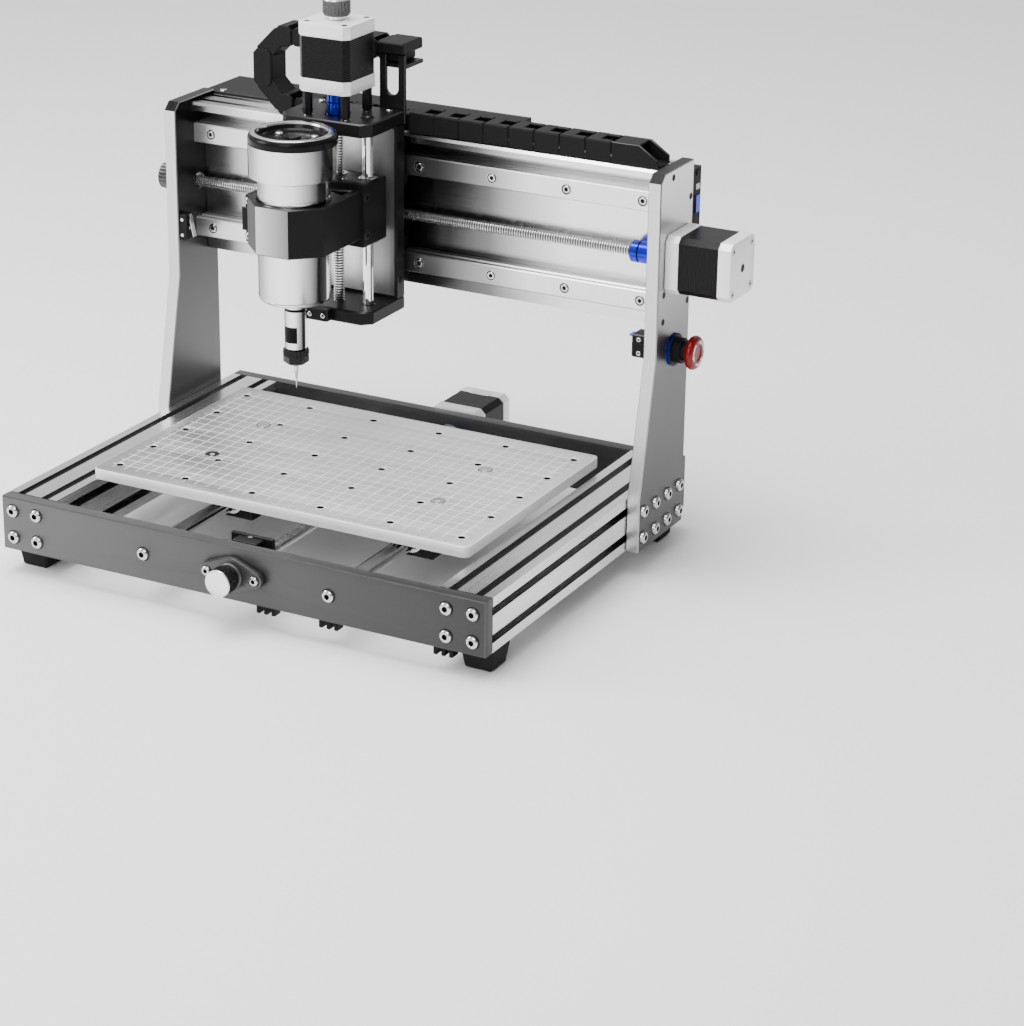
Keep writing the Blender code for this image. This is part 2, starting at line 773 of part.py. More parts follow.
def upright(name, side, holes):
    """Flat side plate whose front edge leans forward to its foot. holes are (Y, Z, diameter)."""
    ring = [
        (UPRIGHT_FOOT_FRONT, BASE_BOTTOM),
        (UPRIGHT_REAR, BASE_BOTTOM),
        (UPRIGHT_REAR, UPRIGHT_TOP),
        (UPRIGHT_FRONT + UPRIGHT_CHAMFER, UPRIGHT_TOP),
        (UPRIGHT_FRONT, UPRIGHT_TOP - UPRIGHT_CHAMFER),
        (UPRIGHT_FRONT, UPRIGHT_TAPER_TOP),
        (UPRIGHT_FOOT_FRONT, BASE_TOP),
    ]
    low, high = sorted((side * UPRIGHT_INNER, side * UPRIGHT_OUTER))
    plate = outline(name, "X", [ring], low, high)
    bevel(plate, 0.7)
    cutters = [
        cylinder(f"{name}_hole_{int(z)}", "X", (y, z), low - OVERCUT, high + OVERCUT, size, 28)
        for y, z, size in holes
    ]
    return boolean(plate, "DIFFERENCE", cutters)


def beam():
    """Hollow extruded gantry beam with a lip along its top edge and grooves in its top."""
    groove_depth = 3.0
    top = []
    for groove in (BEAM_FACE - 7, BEAM_FACE + 8):
        top += [
            (groove - BEAM_GROOVE / 2, BEAM_TOP),
            (groove - BEAM_GROOVE / 2, BEAM_TOP - groove_depth),
            (groove + BEAM_GROOVE / 2, BEAM_TOP - groove_depth),
            (groove + BEAM_GROOVE / 2, BEAM_TOP),
        ]
    ring = [
        (BEAM_LIP_FRONT, BEAM_TOP - BEAM_LIP_HEIGHT),
        (BEAM_LIP_FRONT, BEAM_TOP - 2),
        (BEAM_LIP_FRONT + 2, BEAM_TOP),
        *top,
        (UPRIGHT_REAR, BEAM_TOP),
        (UPRIGHT_REAR, BEAM_BOTTOM),
        (BEAM_FACE, BEAM_BOTTOM),
        (BEAM_FACE, BEAM_TOP - BEAM_LIP_HEIGHT),
    ]
    rings = [ring]
    rooms = 4
    room_top = BEAM_TOP - groove_depth - BEAM_WALL
    step = (room_top - BEAM_BOTTOM) / rooms
    for room in range(rooms):
        low = BEAM_BOTTOM + BEAM_WALL + room * step
        high = low + step - BEAM_WALL
        front, rear = BEAM_FACE + BEAM_WALL, UPRIGHT_REAR - BEAM_WALL
        rings.append([(front, low), (front, high), (rear, high), (rear, low)])
    return outline("gantry_beam", "X", rings, -HALF_WIDTH, HALF_WIDTH)


def rail(name, centre_z):
    """Square carriage rail with a ball groove along its upper and lower sides."""
    half = RAIL_WIDTH / 2
    waist = half - 2.0
    back = BEAM_FACE - FIT
    groove = RAIL_FRONT + 6.5
    ring = [
        (RAIL_FRONT, -half + 0.8),
        (RAIL_FRONT, half - 0.8),
        (RAIL_FRONT + 0.8, half),
        (groove - 2, half),
        (groove, waist),
        (groove + 2, half),
        (back, half),
        (back, -half),
        (groove + 2, -half),
        (groove, -waist),
        (groove - 2, -half),
        (RAIL_FRONT + 0.8, -half),
    ]
    ring = [(y, centre_z + z) for y, z in ring]
    return outline(name, "X", [ring], -HALF_WIDTH, HALF_WIDTH)


screw_hole = (GANTRY_SCREW_Y, GANTRY_SCREW_Z, SCREW_DIAMETER + 4)
motor_hole = (GANTRY_SCREW_Y, GANTRY_SCREW_Z, MOTOR_BOSS + 1)
stop_hole = (STOP_Y, STOP_Z, STOP_BARREL + 2 * FIT)
fix(upright("upright_left", -1, [screw_hole]), machine, "silver_anodised")
fix(upright("upright_right", 1, [motor_hole, stop_hole]), machine, "silver_anodised")
fix(beam(), machine, "silver_anodised")
fix(rail("rail_upper", RAIL_UPPER_Z), machine, "bright_steel")
fix(rail("rail_lower", RAIL_LOWER_Z), machine, "bright_steel")

# ---- Gantry drive ----

GANTRY_AXIS = (GANTRY_SCREW_Y, GANTRY_SCREW_Z)
GANTRY_COUPLING_RIGHT = HALF_WIDTH - 2
fix(motor("gantry_motor", "X", GANTRY_AXIS, UPRIGHT_OUTER + FIT, 1), machine, "motor")
fix(
    cylinder(
        "gantry_lead_screw",
        "X",
        GANTRY_AXIS,
        GANTRY_KNOB_LEFT + 5,
        GANTRY_COUPLING_RIGHT - COUPLING_LENGTH / 2,
        SCREW_DIAMETER,
        20,
    ),
    gantry_screw_axis,
    "bright_steel",
)
fix(
    coupling(
        "gantry_coupling",
        "X",
        GANTRY_AXIS,
        GANTRY_COUPLING_RIGHT - COUPLING_LENGTH,
        GANTRY_COUPLING_RIGHT,
    ),
    gantry_screw_axis,
    "blue_anodised",
)
fix(
    knob(
        "gantry_knob",
        "X",
        GANTRY_AXIS,
        GANTRY_KNOB_LEFT,
        1,
        SCREW_DIAMETER + 2 * FIT,
        -UPRIGHT_OUTER - 2 * FIT,
    ),
    gantry_screw_axis,
    "bright_steel",
)

# ---- Controller box behind the beam ----


def controller_box():
    """Sheet-metal box, open underneath for its wiring, with a shallow terminal box to its right."""
    front, wall = CONTROLLER_FRONT, CONTROLLER_WALL
    case = box(
        "controller_box",
        (-UPRIGHT_OUTER, front, CONTROLLER_BOTTOM),
        (CONTROLLER_RIGHT, CONTROLLER_REAR, CONTROLLER_TOP),
    )
    inside = box(
        "controller_inside",
        (-UPRIGHT_OUTER + wall, front + wall, CONTROLLER_BOTTOM - OVERCUT),
        (CONTROLLER_RIGHT - wall, CONTROLLER_REAR - wall, CONTROLLER_TOP - wall),
    )
    terminals = box(
        "controller_terminals",
        (CONTROLLER_RIGHT - wall / 2, front, CONTROLLER_BOTTOM),
        (UPRIGHT_OUTER, TERMINAL_BOX_REAR, TERMINAL_BOX_TOP),
    )
    terminals_inside = box(
        "terminals_inside",
        (CONTROLLER_RIGHT + wall, front + wall, CONTROLLER_BOTTOM - OVERCUT),
        (UPRIGHT_OUTER - wall, TERMINAL_BOX_REAR - wall, TERMINAL_BOX_TOP - wall),
    )
    boolean(case, "UNION", [terminals])
    return boolean(case, "DIFFERENCE", [inside, terminals_inside])


fix(controller_box(), machine, "black_metal")

# ---- Emergency stop on the right upright ----


def stop_body():
    """Contact block, barrel through the upright, collar and neck, bored for the plunger."""
    outer = UPRIGHT_OUTER
    inner = UPRIGHT_INNER - FIT
    profile = [
        (0, outer + FIT + STOP_NECK_OUT),
        (STOP_BARREL / 2, outer + FIT + STOP_NECK_OUT),
        (STOP_BARREL / 2, outer + FIT + STOP_COLLAR_THICK),
        (STOP_COLLAR / 2, outer + FIT + STOP_COLLAR_THICK),
        (STOP_COLLAR / 2, outer + FIT),
        (STOP_BARREL / 2, outer + FIT),
        (STOP_BARREL / 2, inner),
        (STOP_COLLAR / 2 - 2, inner),
        (STOP_COLLAR / 2 - 2, inner - 3),
        (STOP_BARREL / 2 - 2, inner - 3),
        (STOP_BARREL / 2 - 2, inner - STOP_CONTACTS),
        (0, inner - STOP_CONTACTS),
    ]
    body = turned("stop_body", "X", (STOP_Y, STOP_Z), profile, 28)
    bore = cylinder(
        "stop_bore",
        "X",
        (STOP_Y, STOP_Z),
        outer - STOP_TRAVEL - 2,
        outer + STOP_NECK_OUT + OVERCUT,
        STOP_PLUNGER + 2 * RUN,
        24,
    )
    return boolean(body, "DIFFERENCE", [bore])


STOP_NECK_END = UPRIGHT_OUTER + FIT + STOP_NECK_OUT + STOP_TRAVEL + FIT
fix(stop_body(), machine, "black_plastic")
fix(
    cylinder(
        "stop_plunger",
        "X",
        (STOP_Y, STOP_Z),
        UPRIGHT_OUTER - 1,
        STOP_NECK_END,
        STOP_PLUNGER,
        24,
    ),
    stop_axis,
    "black_plastic",
)
fix(
    turned(
        "stop_head",
        "X",
        (STOP_Y, STOP_Z),
        [
            (0, STOP_NECK_END + FIT + STOP_HEAD_THICK),
            (STOP_HEAD / 2 - 4, STOP_NECK_END + FIT + STOP_HEAD_THICK),
            (STOP_HEAD / 2 - 1, STOP_NECK_END + FIT + STOP_HEAD_THICK - 1.5),
            (STOP_HEAD / 2, STOP_NECK_END + FIT + STOP_HEAD_THICK - 3.5),
            (STOP_HEAD / 2 - 1, STOP_NECK_END + FIT),
            (0, STOP_NECK_END + FIT),
        ],
        28,
    ),
    stop_axis,
    "red_plastic",
)

# ---- Carriage ----


def rail_block(name, centre_z):
    """Carriage block that wraps a rail from the front."""
    half = RAIL_BLOCK_WIDTH / 2
    hold = RAIL_WIDTH / 2 + RUN
    front = FRAME_BACK + FIT
    ring = [
        (front, -half),
        (front, half),
        (RAIL_BLOCK_BACK, half),
        (RAIL_BLOCK_BACK, hold),
        (RAIL_FRONT - RUN, hold),
        (RAIL_FRONT - RUN, -hold),
        (RAIL_BLOCK_BACK, -hold),
        (RAIL_BLOCK_BACK, -half),
    ]
    ring = [(y, centre_z + z) for y, z in ring]
    left = CARRIAGE_X - RAIL_BLOCK_LENGTH / 2
    return outline(name, "X", [ring], left, left + RAIL_BLOCK_LENGTH)


def lift_frame():
    """C-shaped frame: a back plate with a shelf above and below, cut from one solid."""
    left, right = CARRIAGE_X - FRAME_WIDTH / 2, CARRIAGE_X + FRAME_WIDTH / 2
    plate = FRAME_PLATE
    ring = [
        (FRAME_FRONT, FRAME_BOTTOM),
        (FRAME_BACK, FRAME_BOTTOM),
        (FRAME_BACK, FRAME_TOP),
        (FRAME_FRONT, FRAME_TOP),
        (FRAME_FRONT, FRAME_TOP - plate),
        (FRAME_BACK - plate, FRAME_TOP - plate),
        (FRAME_BACK - plate, FRAME_BOTTOM + plate),
        (FRAME_FRONT, FRAME_BOTTOM + plate),
    ]
    frame = outline("lift_frame", "X", [ring], left, right)
    cut = FRAME_CORNER
    footprint = [
        (left, FRAME_FRONT + cut),
        (left + cut, FRAME_FRONT - 1e-3),
        (right - cut, FRAME_FRONT - 1e-3),
        (right, FRAME_FRONT + cut),
        (right + 1, FRAME_FRONT + cut + 1),
        (right + 1, FRAME_BACK + OVERCUT),
        (left - 1, FRAME_BACK + OVERCUT),
        (left - 1, FRAME_FRONT + cut + 1),
    ]
    corners = outline(
        "lift_frame_corners", "Z", [footprint], FRAME_BOTTOM - OVERCUT, FRAME_TOP + OVERCUT
    )
    boolean(frame, "INTERSECT", [corners])
    top_hole = cylinder(
        "lift_frame_top_hole",
        "Z",
        (CARRIAGE_X, LIFT_Y),
        FRAME_TOP - plate - OVERCUT,
        FRAME_TOP + OVERCUT,
        COUPLING_DIAMETER + 3,
    )
    bottom_hole = cylinder(
        "lift_frame_bottom_hole",
        "Z",
        (CARRIAGE_X, LIFT_Y),
        FRAME_BOTTOM - OVERCUT,
        FRAME_BOTTOM + plate + OVERCUT,
        SCREW_DIAMETER + 2 * RUN,
        20,
    )
    shaft_holes = [
        cylinder(
            f"lift_frame_shaft_hole_{side}",
            "Z",
            (CARRIAGE_X + side * LIFT_SHAFT_SPACING / 2, LIFT_Y),
            FRAME_BOTTOM - OVERCUT,
            FRAME_TOP + OVERCUT,
            LIFT_SHAFT_DIAMETER + 2 * FIT,
            20,
        )
        for side in (-1, 1)
    ]
    return boolean(frame, "DIFFERENCE", [top_hole, bottom_hole, *shaft_holes])


def carriage_nut_block():
    left = CARRIAGE_X - NUT_BLOCK_WIDTH / 2
    block = box(
        "carriage_nut_block",
        (left, FRAME_BACK + FIT, GANTRY_SCREW_Z - NUT_BLOCK_HEIGHT / 2),
        (left + NUT_BLOCK_WIDTH, NUT_BLOCK_BACK, GANTRY_SCREW_Z + NUT_BLOCK_HEIGHT / 2),
    )
    hole = cylinder(
        "carriage_nut_bore",
        "X",
        GANTRY_AXIS,
        left - OVERCUT,
        left + NUT_BLOCK_WIDTH + OVERCUT,
        SCREW_DIAMETER + 2 * RUN,
        20,
    )
    return boolean(block, "DIFFERENCE", [hole])


def chain_bracket():
    """Slotted upright behind the lift frame, bent back at the top under the chain's end."""
    front = FRAME_BACK + FIT
    shelf = CHAIN_UPPER_BOTTOM - FIT
    bottom = FRAME_TOP - FRAME_PLATE
    ring = [
        (front, bottom),
        (front + BRACKET_THICK, bottom),
        (front + BRACKET_THICK, shelf - BRACKET_THICK),
        (CHAIN_REAR, shelf - BRACKET_THICK),
        (CHAIN_REAR, shelf),
        (front, shelf),
    ]
    right = BRACKET_LEFT + BRACKET_WIDTH
    bracket = outline("chain_bracket", "X", [ring], BRACKET_LEFT, right)
    middle = (BRACKET_LEFT + right) / 2
    half = BRACKET_SLOT / 2
    low, high = FRAME_TOP + 10, shelf - BRACKET_THICK - 1
    slot = circle(middle, low + half, half, 180, 360, 6) + circle(middle, high - half, half, 0, 180, 6)
    cutter = outline(
        "chain_bracket_slot",
        "Y",
        [slot],
        front - OVERCUT,
        front + BRACKET_THICK + OVERCUT,
    )
    return boolean(bracket, "DIFFERENCE", [cutter])


LIFT_AXIS = (CARRIAGE_X, LIFT_Y)
fix(rail_block("rail_block_upper", RAIL_UPPER_Z), carriage, "bright_steel")
fix(rail_block("rail_block_lower", RAIL_LOWER_Z), carriage, "bright_steel")
fix(lift_frame(), carriage, "black_metal")
fix(carriage_nut_block(), carriage, "brass")
fix(chain_bracket(), carriage, "black_metal")
for side_name, side_x in (("left", -1), ("right", 1)):
    shaft = cylinder(
        "lift_shaft_" + side_name,
        "Z",
        (CARRIAGE_X + side_x * LIFT_SHAFT_SPACING / 2, LIFT_Y),
        FRAME_BOTTOM + 1,
        FRAME_TOP - 1,
        LIFT_SHAFT_DIAMETER,
        20,
    )
    fix(shaft, carriage, "bright_steel")
    for end_name, side_y in (("front", -1), ("rear", 1)):
        standoff = cylinder(
            f"standoff_{end_name}_{side_name}",
            "Z",
            (CARRIAGE_X + side_x * MOTOR_BOLT_PITCH / 2, LIFT_Y + side_y * MOTOR_BOLT_PITCH / 2),
            FRAME_TOP + FIT,
            FRAME_TOP + FIT + STANDOFF_HEIGHT,
            STANDOFF_DIAMETER,
            16,
        )
        fix(standoff, carriage, "black_metal")
fix(motor("lift_motor", "Z", LIFT_AXIS, LIFT_MOTOR_BOTTOM, 1, 12.0, 10.0), carriage, "motor")
fix(
    box(
        "lift_limit_switch",
        (CARRIAGE_X - 12, FRAME_FRONT - FIT - SWITCH_THICK, FRAME_BOTTOM + 0.5),
        (CARRIAGE_X + 6, FRAME_FRONT - FIT, FRAME_BOTTOM + FRAME_PLATE - 0.5),
    ),
    carriage,
    "black_plastic",
)

# ---- Lift drive ----

LIFT_COUPLING_TOP = LIFT_MOTOR_BOTTOM - 3
fix(
    cylinder(
        "lift_lead_screw",
        "Z",
        LIFT_AXIS,
        FRAME_BOTTOM + 1,
        LIFT_COUPLING_TOP - COUPLING_LENGTH / 2,
        SCREW_DIAMETER,
        20,
    ),
    lift_screw_axis,
    "bright_steel",
)
fix(
    coupling("lift_coupling", "Z", LIFT_AXIS, LIFT_COUPLING_TOP - COUPLING_LENGTH, LIFT_COUPLING_TOP),
    lift_screw_axis,
    "blue_anodised",
)
fix(
    knob(
        "lift_knob",
        "Z",
        LIFT_AXIS,
        LIFT_MOTOR_TOP + 3 + KNOB_LENGTH,
        -1,
        MOTOR_SHAFT + 2 * RUN,
        LIFT_MOTOR_TOP + FIT,
    ),
    lift_screw_axis,
    "bright_steel",
)

# ---- Lift slide and spindle ----


def slide_block():
    block = box(
        "slide_block",
        (CARRIAGE_X - SLIDE_WIDTH / 2, SLIDE_FRONT, SLIDE_BOTTOM),
        (CARRIAGE_X + SLIDE_WIDTH / 2, SLIDE_BACK, SLIDE_TOP),
    )
    bevel(block, 1.5)
    sizes = {-1: LIFT_SHAFT_DIAMETER, 0: SCREW_DIAMETER, 1: LIFT_SHAFT_DIAMETER}
    holes = [
        cylinder(
            f"slide_block_hole_{side}",
            "Z",
            (CARRIAGE_X + side * LIFT_SHAFT_SPACING / 2, LIFT_Y),
            SLIDE_BOTTOM - OVERCUT,
            SLIDE_TOP + OVERCUT,
            size + 2 * RUN,
            20,
        )
        for side, size in sizes.items()
    ]
    return boolean(block, "DIFFERENCE", holes)


def spindle_clamp():
    """Clamp block with a faceted nose, bored for the spindle, its split ears on the left."""
    x, half = CARRIAGE_X, CLAMP_HALF_WIDTH
    rear = SLIDE_FRONT - FIT
    slope = half - CLAMP_FACET
    ring = [
        (x - half, rear),
        (x - half, CLAMP_FRONT + slope),
        (x - CLAMP_FACET, CLAMP_FRONT),
        (x + CLAMP_FACET, CLAMP_FRONT),
        (x + half, CLAMP_FRONT + slope),
        (x + half, rear),
    ]
    clamp = outline("spindle_clamp", "Z", [ring], CLAMP_BOTTOM, CLAMP_TOP)
    bevel(clamp, 1.0)
    bore = cylinder(
        "spindle_clamp_bore",
        "Z",
        (x, 0),
        CLAMP_BOTTOM - OVERCUT,
        CLAMP_TOP + OVERCUT,
        SPINDLE_DIAMETER + 2 * FIT,
        40,
    )
    split = box(
        "spindle_clamp_split",
        (x - half - OVERCUT, 3.5, CLAMP_BOTTOM - OVERCUT),
        (x - SPINDLE_DIAMETER / 2 + OVERCUT, 5.5, CLAMP_TOP + OVERCUT),
    )
    return boolean(clamp, "DIFFERENCE", [bore, split])


def spindle_body():
    body, cap = SPINDLE_DIAMETER / 2, SPINDLE_CAP_DIAMETER / 2
    profile = [
        (0, SPINDLE_TOP - 2.5),
        (cap - 5, SPINDLE_TOP - 2.5),
        (cap - 4, SPINDLE_TOP),
        (cap - 1.5, SPINDLE_TOP),
        (cap, SPINDLE_TOP - 1.5),
        (cap, SPINDLE_CAP_BOTTOM + 2),
        (cap - 2, SPINDLE_CAP_BOTTOM),
        (body, SPINDLE_CAP_BOTTOM),
        (body, SPINDLE_BOTTOM + 4),
        (body - 4, SPINDLE_BOTTOM),
        (SHAFT_DIAMETER / 2 + 4, SPINDLE_BOTTOM),
        (SHAFT_DIAMETER / 2 + 4, SPINDLE_BOTTOM - 2),
        (0, SPINDLE_BOTTOM - 2),
    ]
    made = turned("spindle_body", "Z", (CARRIAGE_X, 0), profile, 40)
    bore = cylinder(
        "spindle_bore",
        "Z",
        (CARRIAGE_X, 0),
        SPINDLE_BOTTOM - 2 - OVERCUT,
        SPINDLE_BOTTOM + SPINDLE_BORE_DEPTH,
        SHAFT_DIAMETER + 2 * RUN,
        28,
    )
    return boolean(made, "DIFFERENCE", [bore])


def collet_nut():
    top, bottom = COLLET_NUT_TOP, COLLET_NUT_TOP - COLLET_NUT_HEIGHT
    half = COLLET_NUT_DIAMETER / 2
    hole = BIT_DIAMETER / 2 + FIT
    profile = [(hole, top), (half, top), (half, bottom + 2.5), (half - 2.5, bottom)]
    profile += [(hole, bottom), (hole, top)]
    return turned("collet_nut", "Z", (CARRIAGE_X, 0), profile, 24)


SPINDLE_AXIS = (CARRIAGE_X, 0)
fix(slide_block(), lift_slide, "black_metal")
fix(spindle_clamp(), lift_slide, "dark_anodised")
fix(spindle_body(), lift_slide, "chrome")
fix(
    cylinder(
        "spindle_shaft",
        "Z",
        SPINDLE_AXIS,
        COLLET_NUT_TOP + FIT,
        SPINDLE_BOTTOM + SPINDLE_BORE_DEPTH - 1,
        SHAFT_DIAMETER,
        28,
    ),
    spindle_axis,
    "chrome",
)
fix(collet_nut(), spindle_axis, "black_metal")
bit = BIT_DIAMETER / 2
fix(
    turned(
        "cutting_bit",
        "Z",
        SPINDLE_AXIS,
        [(0, COLLET_NUT_TOP), (bit, COLLET_NUT_TOP), (bit, BIT_TIP + 12), (0.25, BIT_TIP), (0, BIT_TIP)],
        16,
    ),
    spindle_axis,
    "bright_steel",
)

# ---- Cable chain: fixed run, rolling bend, upper run ----


def chain_box(name, left, right, bottom, inset):
    return box(
        name,
        (left, CHAIN_FRONT + inset, bottom + inset),
        (right, CHAIN_REAR - inset, bottom + CHAIN_HEIGHT - inset),
    )


def chain_windows(name, left, right, bottom):
    """Square openings along the top of a run of links."""
    windows = []
    count = int((right - left) // CHAIN_PITCH)
    for link in range(count):
        start = left + CHAIN_PITCH * (link + 0.3)
        windows.append(
            box(
                f"{name}_window_{link}",
                (start, CHAIN_FRONT + 5, bottom + CHAIN_HEIGHT - CHAIN_WALL - OVERCUT),
                (start + CHAIN_PITCH * 0.45, CHAIN_REAR - 5, bottom + CHAIN_HEIGHT + OVERCUT),
                CUTTERS,
            )
        )
    return windows


def chain_fixed():
    """Hollow run of links on the beam, with a tapered end piece by the right upright."""
    run_end = CHAIN_FIXED_RIGHT - CHAIN_TAPER
    top = CHAIN_BOTTOM + CHAIN_HEIGHT
    ring = [
        (CHAIN_FIXED_LEFT, CHAIN_BOTTOM),
        (CHAIN_FIXED_RIGHT, CHAIN_BOTTOM),
        (CHAIN_FIXED_RIGHT, CHAIN_BOTTOM + 6),
        (CHAIN_FIXED_RIGHT - 14, top),
        (CHAIN_FIXED_LEFT, top),
    ]
    run = outline("chain_fixed", "Y", [ring], CHAIN_FRONT, CHAIN_REAR)
    inside = chain_box("chain_fixed_inside", CHAIN_FIXED_LEFT - OVERCUT, run_end, CHAIN_BOTTOM, CHAIN_WALL)
    boolean(run, "DIFFERENCE", [inside])
    windows = chain_windows("chain_fixed", CHAIN_FIXED_LEFT, run_end, CHAIN_BOTTOM)
    return cut_together(run, windows, "chain_fixed_windows")


def chain_bend():
    """The rolling bend, with the thinner tails that run inside the fixed and the upper runs."""
    outer, inner = CHAIN_BEND_RADIUS, CHAIN_BEND_RADIUS - CHAIN_HEIGHT
    height = CHAIN_BOTTOM + CHAIN_BEND_RADIUS
    ring = circle(CHAIN_BEND_X, height, outer, 90, 270, 8)
    ring += circle(CHAIN_BEND_X, height, inner, 270, 90, 8)
    bend = outline("chain_bend", "Y", [ring], CHAIN_FRONT, CHAIN_REAR)
    slim = CHAIN_WALL + 0.6
    low_tail = chain_box("chain_low_tail", CHAIN_BEND_X - 3, CHAIN_TAIL_RIGHT, CHAIN_BOTTOM, slim)
    top_tail = chain_box(
        "chain_top_tail", CHAIN_BEND_X - 3, CHAIN_TAIL_TOP_RIGHT, CHAIN_UPPER_BOTTOM, slim
    )
    return boolean(bend, "UNION", [low_tail, top_tail])


def chain_upper():
    run = chain_box("chain_upper", CHAIN_UPPER_LEFT, CHAIN_UPPER_RIGHT, CHAIN_UPPER_BOTTOM, 0)
    inside = chain_box(
        "chain_upper_inside",
        CHAIN_UPPER_LEFT - OVERCUT,
        CHAIN_UPPER_RIGHT + OVERCUT,
        CHAIN_UPPER_BOTTOM,
        CHAIN_WALL,
    )
    return boolean(run, "DIFFERENCE", [inside])


fix(chain_fixed(), machine, "black_plastic")
fix(chain_bend(), chain_roll, "black_plastic")
fix(chain_upper(), carriage, "black_plastic")

# ---- Limit switches ----

fix(
    box(
        "side_limit_switch",
        (-UPRIGHT_INNER + FIT, SIDE_SWITCH_Y - SWITCH_DEPTH / 2, SIDE_SWITCH_Z - SWITCH_LENGTH),
        (SWITCH_FACE, SIDE_SWITCH_Y + SWITCH_DEPTH / 2, SIDE_SWITCH_Z),
    ),
    machine,
    "black_plastic",
)
lever_back = SWITCH_FACE + FIT
lever_ring = [
    (lever_back, SIDE_SWITCH_Z),
    (lever_back + LEVER_THICK, SIDE_SWITCH_Z),
    (lever_back + LEVER_LEAN + LEVER_THICK, SIDE_SWITCH_Z - LEVER_LENGTH),
    (lever_back + LEVER_LEAN, SIDE_SWITCH_Z - LEVER_LENGTH),
]
lever_sides = (SIDE_SWITCH_Y - LEVER_WIDTH / 2, SIDE_SWITCH_Y + LEVER_WIDTH / 2)
fix(outline("side_limit_lever", "Y", [lever_ring], *lever_sides), side_lever_axis, "bright_steel")
fix(
    box(
        "bed_limit_switch",
        (-BED_SWITCH_WIDTH / 2, -INNER_HALF_LENGTH + FIT, BED_SWITCH_BOTTOM),
        (BED_SWITCH_WIDTH / 2, -INNER_HALF_LENGTH + 16, BED_SWITCH_TOP),
    ),
    machine,
    "black_plastic",
)
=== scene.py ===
"""A desktop CNC router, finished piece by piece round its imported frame. Sizes in the sections are in
millimetres, measured from the middle of the front plate on X, the middle of the base on Y and the
floor on Z."""

import math

import bmesh
import bpy
from mathutils import Matrix, Vector


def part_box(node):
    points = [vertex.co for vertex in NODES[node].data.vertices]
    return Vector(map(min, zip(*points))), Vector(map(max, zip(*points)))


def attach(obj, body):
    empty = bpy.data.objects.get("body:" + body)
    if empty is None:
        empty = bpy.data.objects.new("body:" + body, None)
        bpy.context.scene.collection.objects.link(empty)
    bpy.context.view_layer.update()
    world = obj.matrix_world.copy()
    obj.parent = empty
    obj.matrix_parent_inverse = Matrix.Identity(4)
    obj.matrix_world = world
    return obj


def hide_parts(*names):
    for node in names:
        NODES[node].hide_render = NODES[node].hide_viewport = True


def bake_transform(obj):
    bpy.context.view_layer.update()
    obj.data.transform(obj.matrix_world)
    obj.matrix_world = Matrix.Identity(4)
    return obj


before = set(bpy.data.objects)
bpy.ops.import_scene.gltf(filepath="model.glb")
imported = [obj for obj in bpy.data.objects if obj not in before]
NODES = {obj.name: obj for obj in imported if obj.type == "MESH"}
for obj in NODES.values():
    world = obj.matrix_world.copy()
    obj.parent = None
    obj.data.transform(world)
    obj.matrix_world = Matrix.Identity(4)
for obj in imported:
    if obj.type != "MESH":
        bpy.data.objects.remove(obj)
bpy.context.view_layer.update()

# ---- Studio ----
# A pale seamless floor under large soft lamps, with a world that is bright overhead and darker
# towards one side, so that polished metal has something to show.

MM = 0.001
front_low, front_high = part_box("front_plate")
rear_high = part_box("rear_plate")[1]
ORIGIN = Vector(((front_low.x + front_high.x) / 2, (front_low.y + rear_high.y) / 2, 0))


class Signal:
    """A shader socket that takes part in Python sums. Any other node comes from node()."""

    def __init__(self, tree, socket):
        self.tree = tree
        self.socket = socket

    def node(self, kind, settings=None, sockets=None, output=0):
        made = self.tree.nodes.new("ShaderNode" + kind)
        for key, value in (settings or {}).items():
            if key != "stops":
                setattr(made, key, value)
                continue
            stops = made.color_ramp.elements
            while len(stops) < len(value):
                stops.new(1.0)
            for stop, (place, colour) in zip(stops, value):
                stop.position = place
                stop.color = colour
        for key, value in (sockets or {}).items():
            if isinstance(value, Signal):
                self.tree.links.new(value.socket, made.inputs[key])
            else:
                made.inputs[key].default_value = value
        return Signal(self.tree, made.outputs[output])

    def sum(self, operation, first, second=0.0):
        return self.node("Math", {"operation": operation}, {0: first, 1: second})

    def __add__(self, other):
        return self.sum("ADD", self, other)

    __radd__ = __add__

    def __sub__(self, other):
        return self.sum("SUBTRACT", self, other)

    def __rsub__(self, other):
        return self.sum("SUBTRACT", other, self)

    def __mul__(self, other):
        return self.sum("MULTIPLY", self, other)

    __rmul__ = __mul__

    def __truediv__(self, other):
        return self.sum("DIVIDE", self, other)

    def __rtruediv__(self, other):
        return self.sum("DIVIDE", other, self)

    def __mod__(self, other):
        return self.sum("FLOORED_MODULO", self, other)

    def __lt__(self, other):
        return self.sum("LESS_THAN", self, other)

    def __gt__(self, other):
        return self.sum("GREATER_THAN", self, other)

    def __abs__(self):
        return self.sum("ABSOLUTE", self)

    def noise(self, scale, detail=2.0, stretch=(1, 1, 1)):
        place = self.node("Mapping", {}, {"Vector": self, "Scale": stretch})
        return place.node("TexNoise", {}, {"Vector": place, "Scale": scale, "Detail": detail})

    def between(self, first, second):
        """The colour this far from the first to the second."""
        return self.node("Mix", {"data_type": "RGBA"}, {0: self, 6: first, 7: second}, 2)

    def bump(self, strength, depth):
        settings = {"Height": self, "Strength": strength, "Distance": depth}
        return self.node("Bump", {}, settings)

    def axes(self):
        """X, Y and Z of a vector, in millimetres from the model's zero."""
        split = self.node("SeparateXYZ", {}, {0: self})
        outputs = split.socket.node.outputs
        shift = (ORIGIN.x, ORIGIN.y, 0)
        return [(Signal(self.tree, outputs[i]) - shift[i]) * 1000 for i in range(3)]


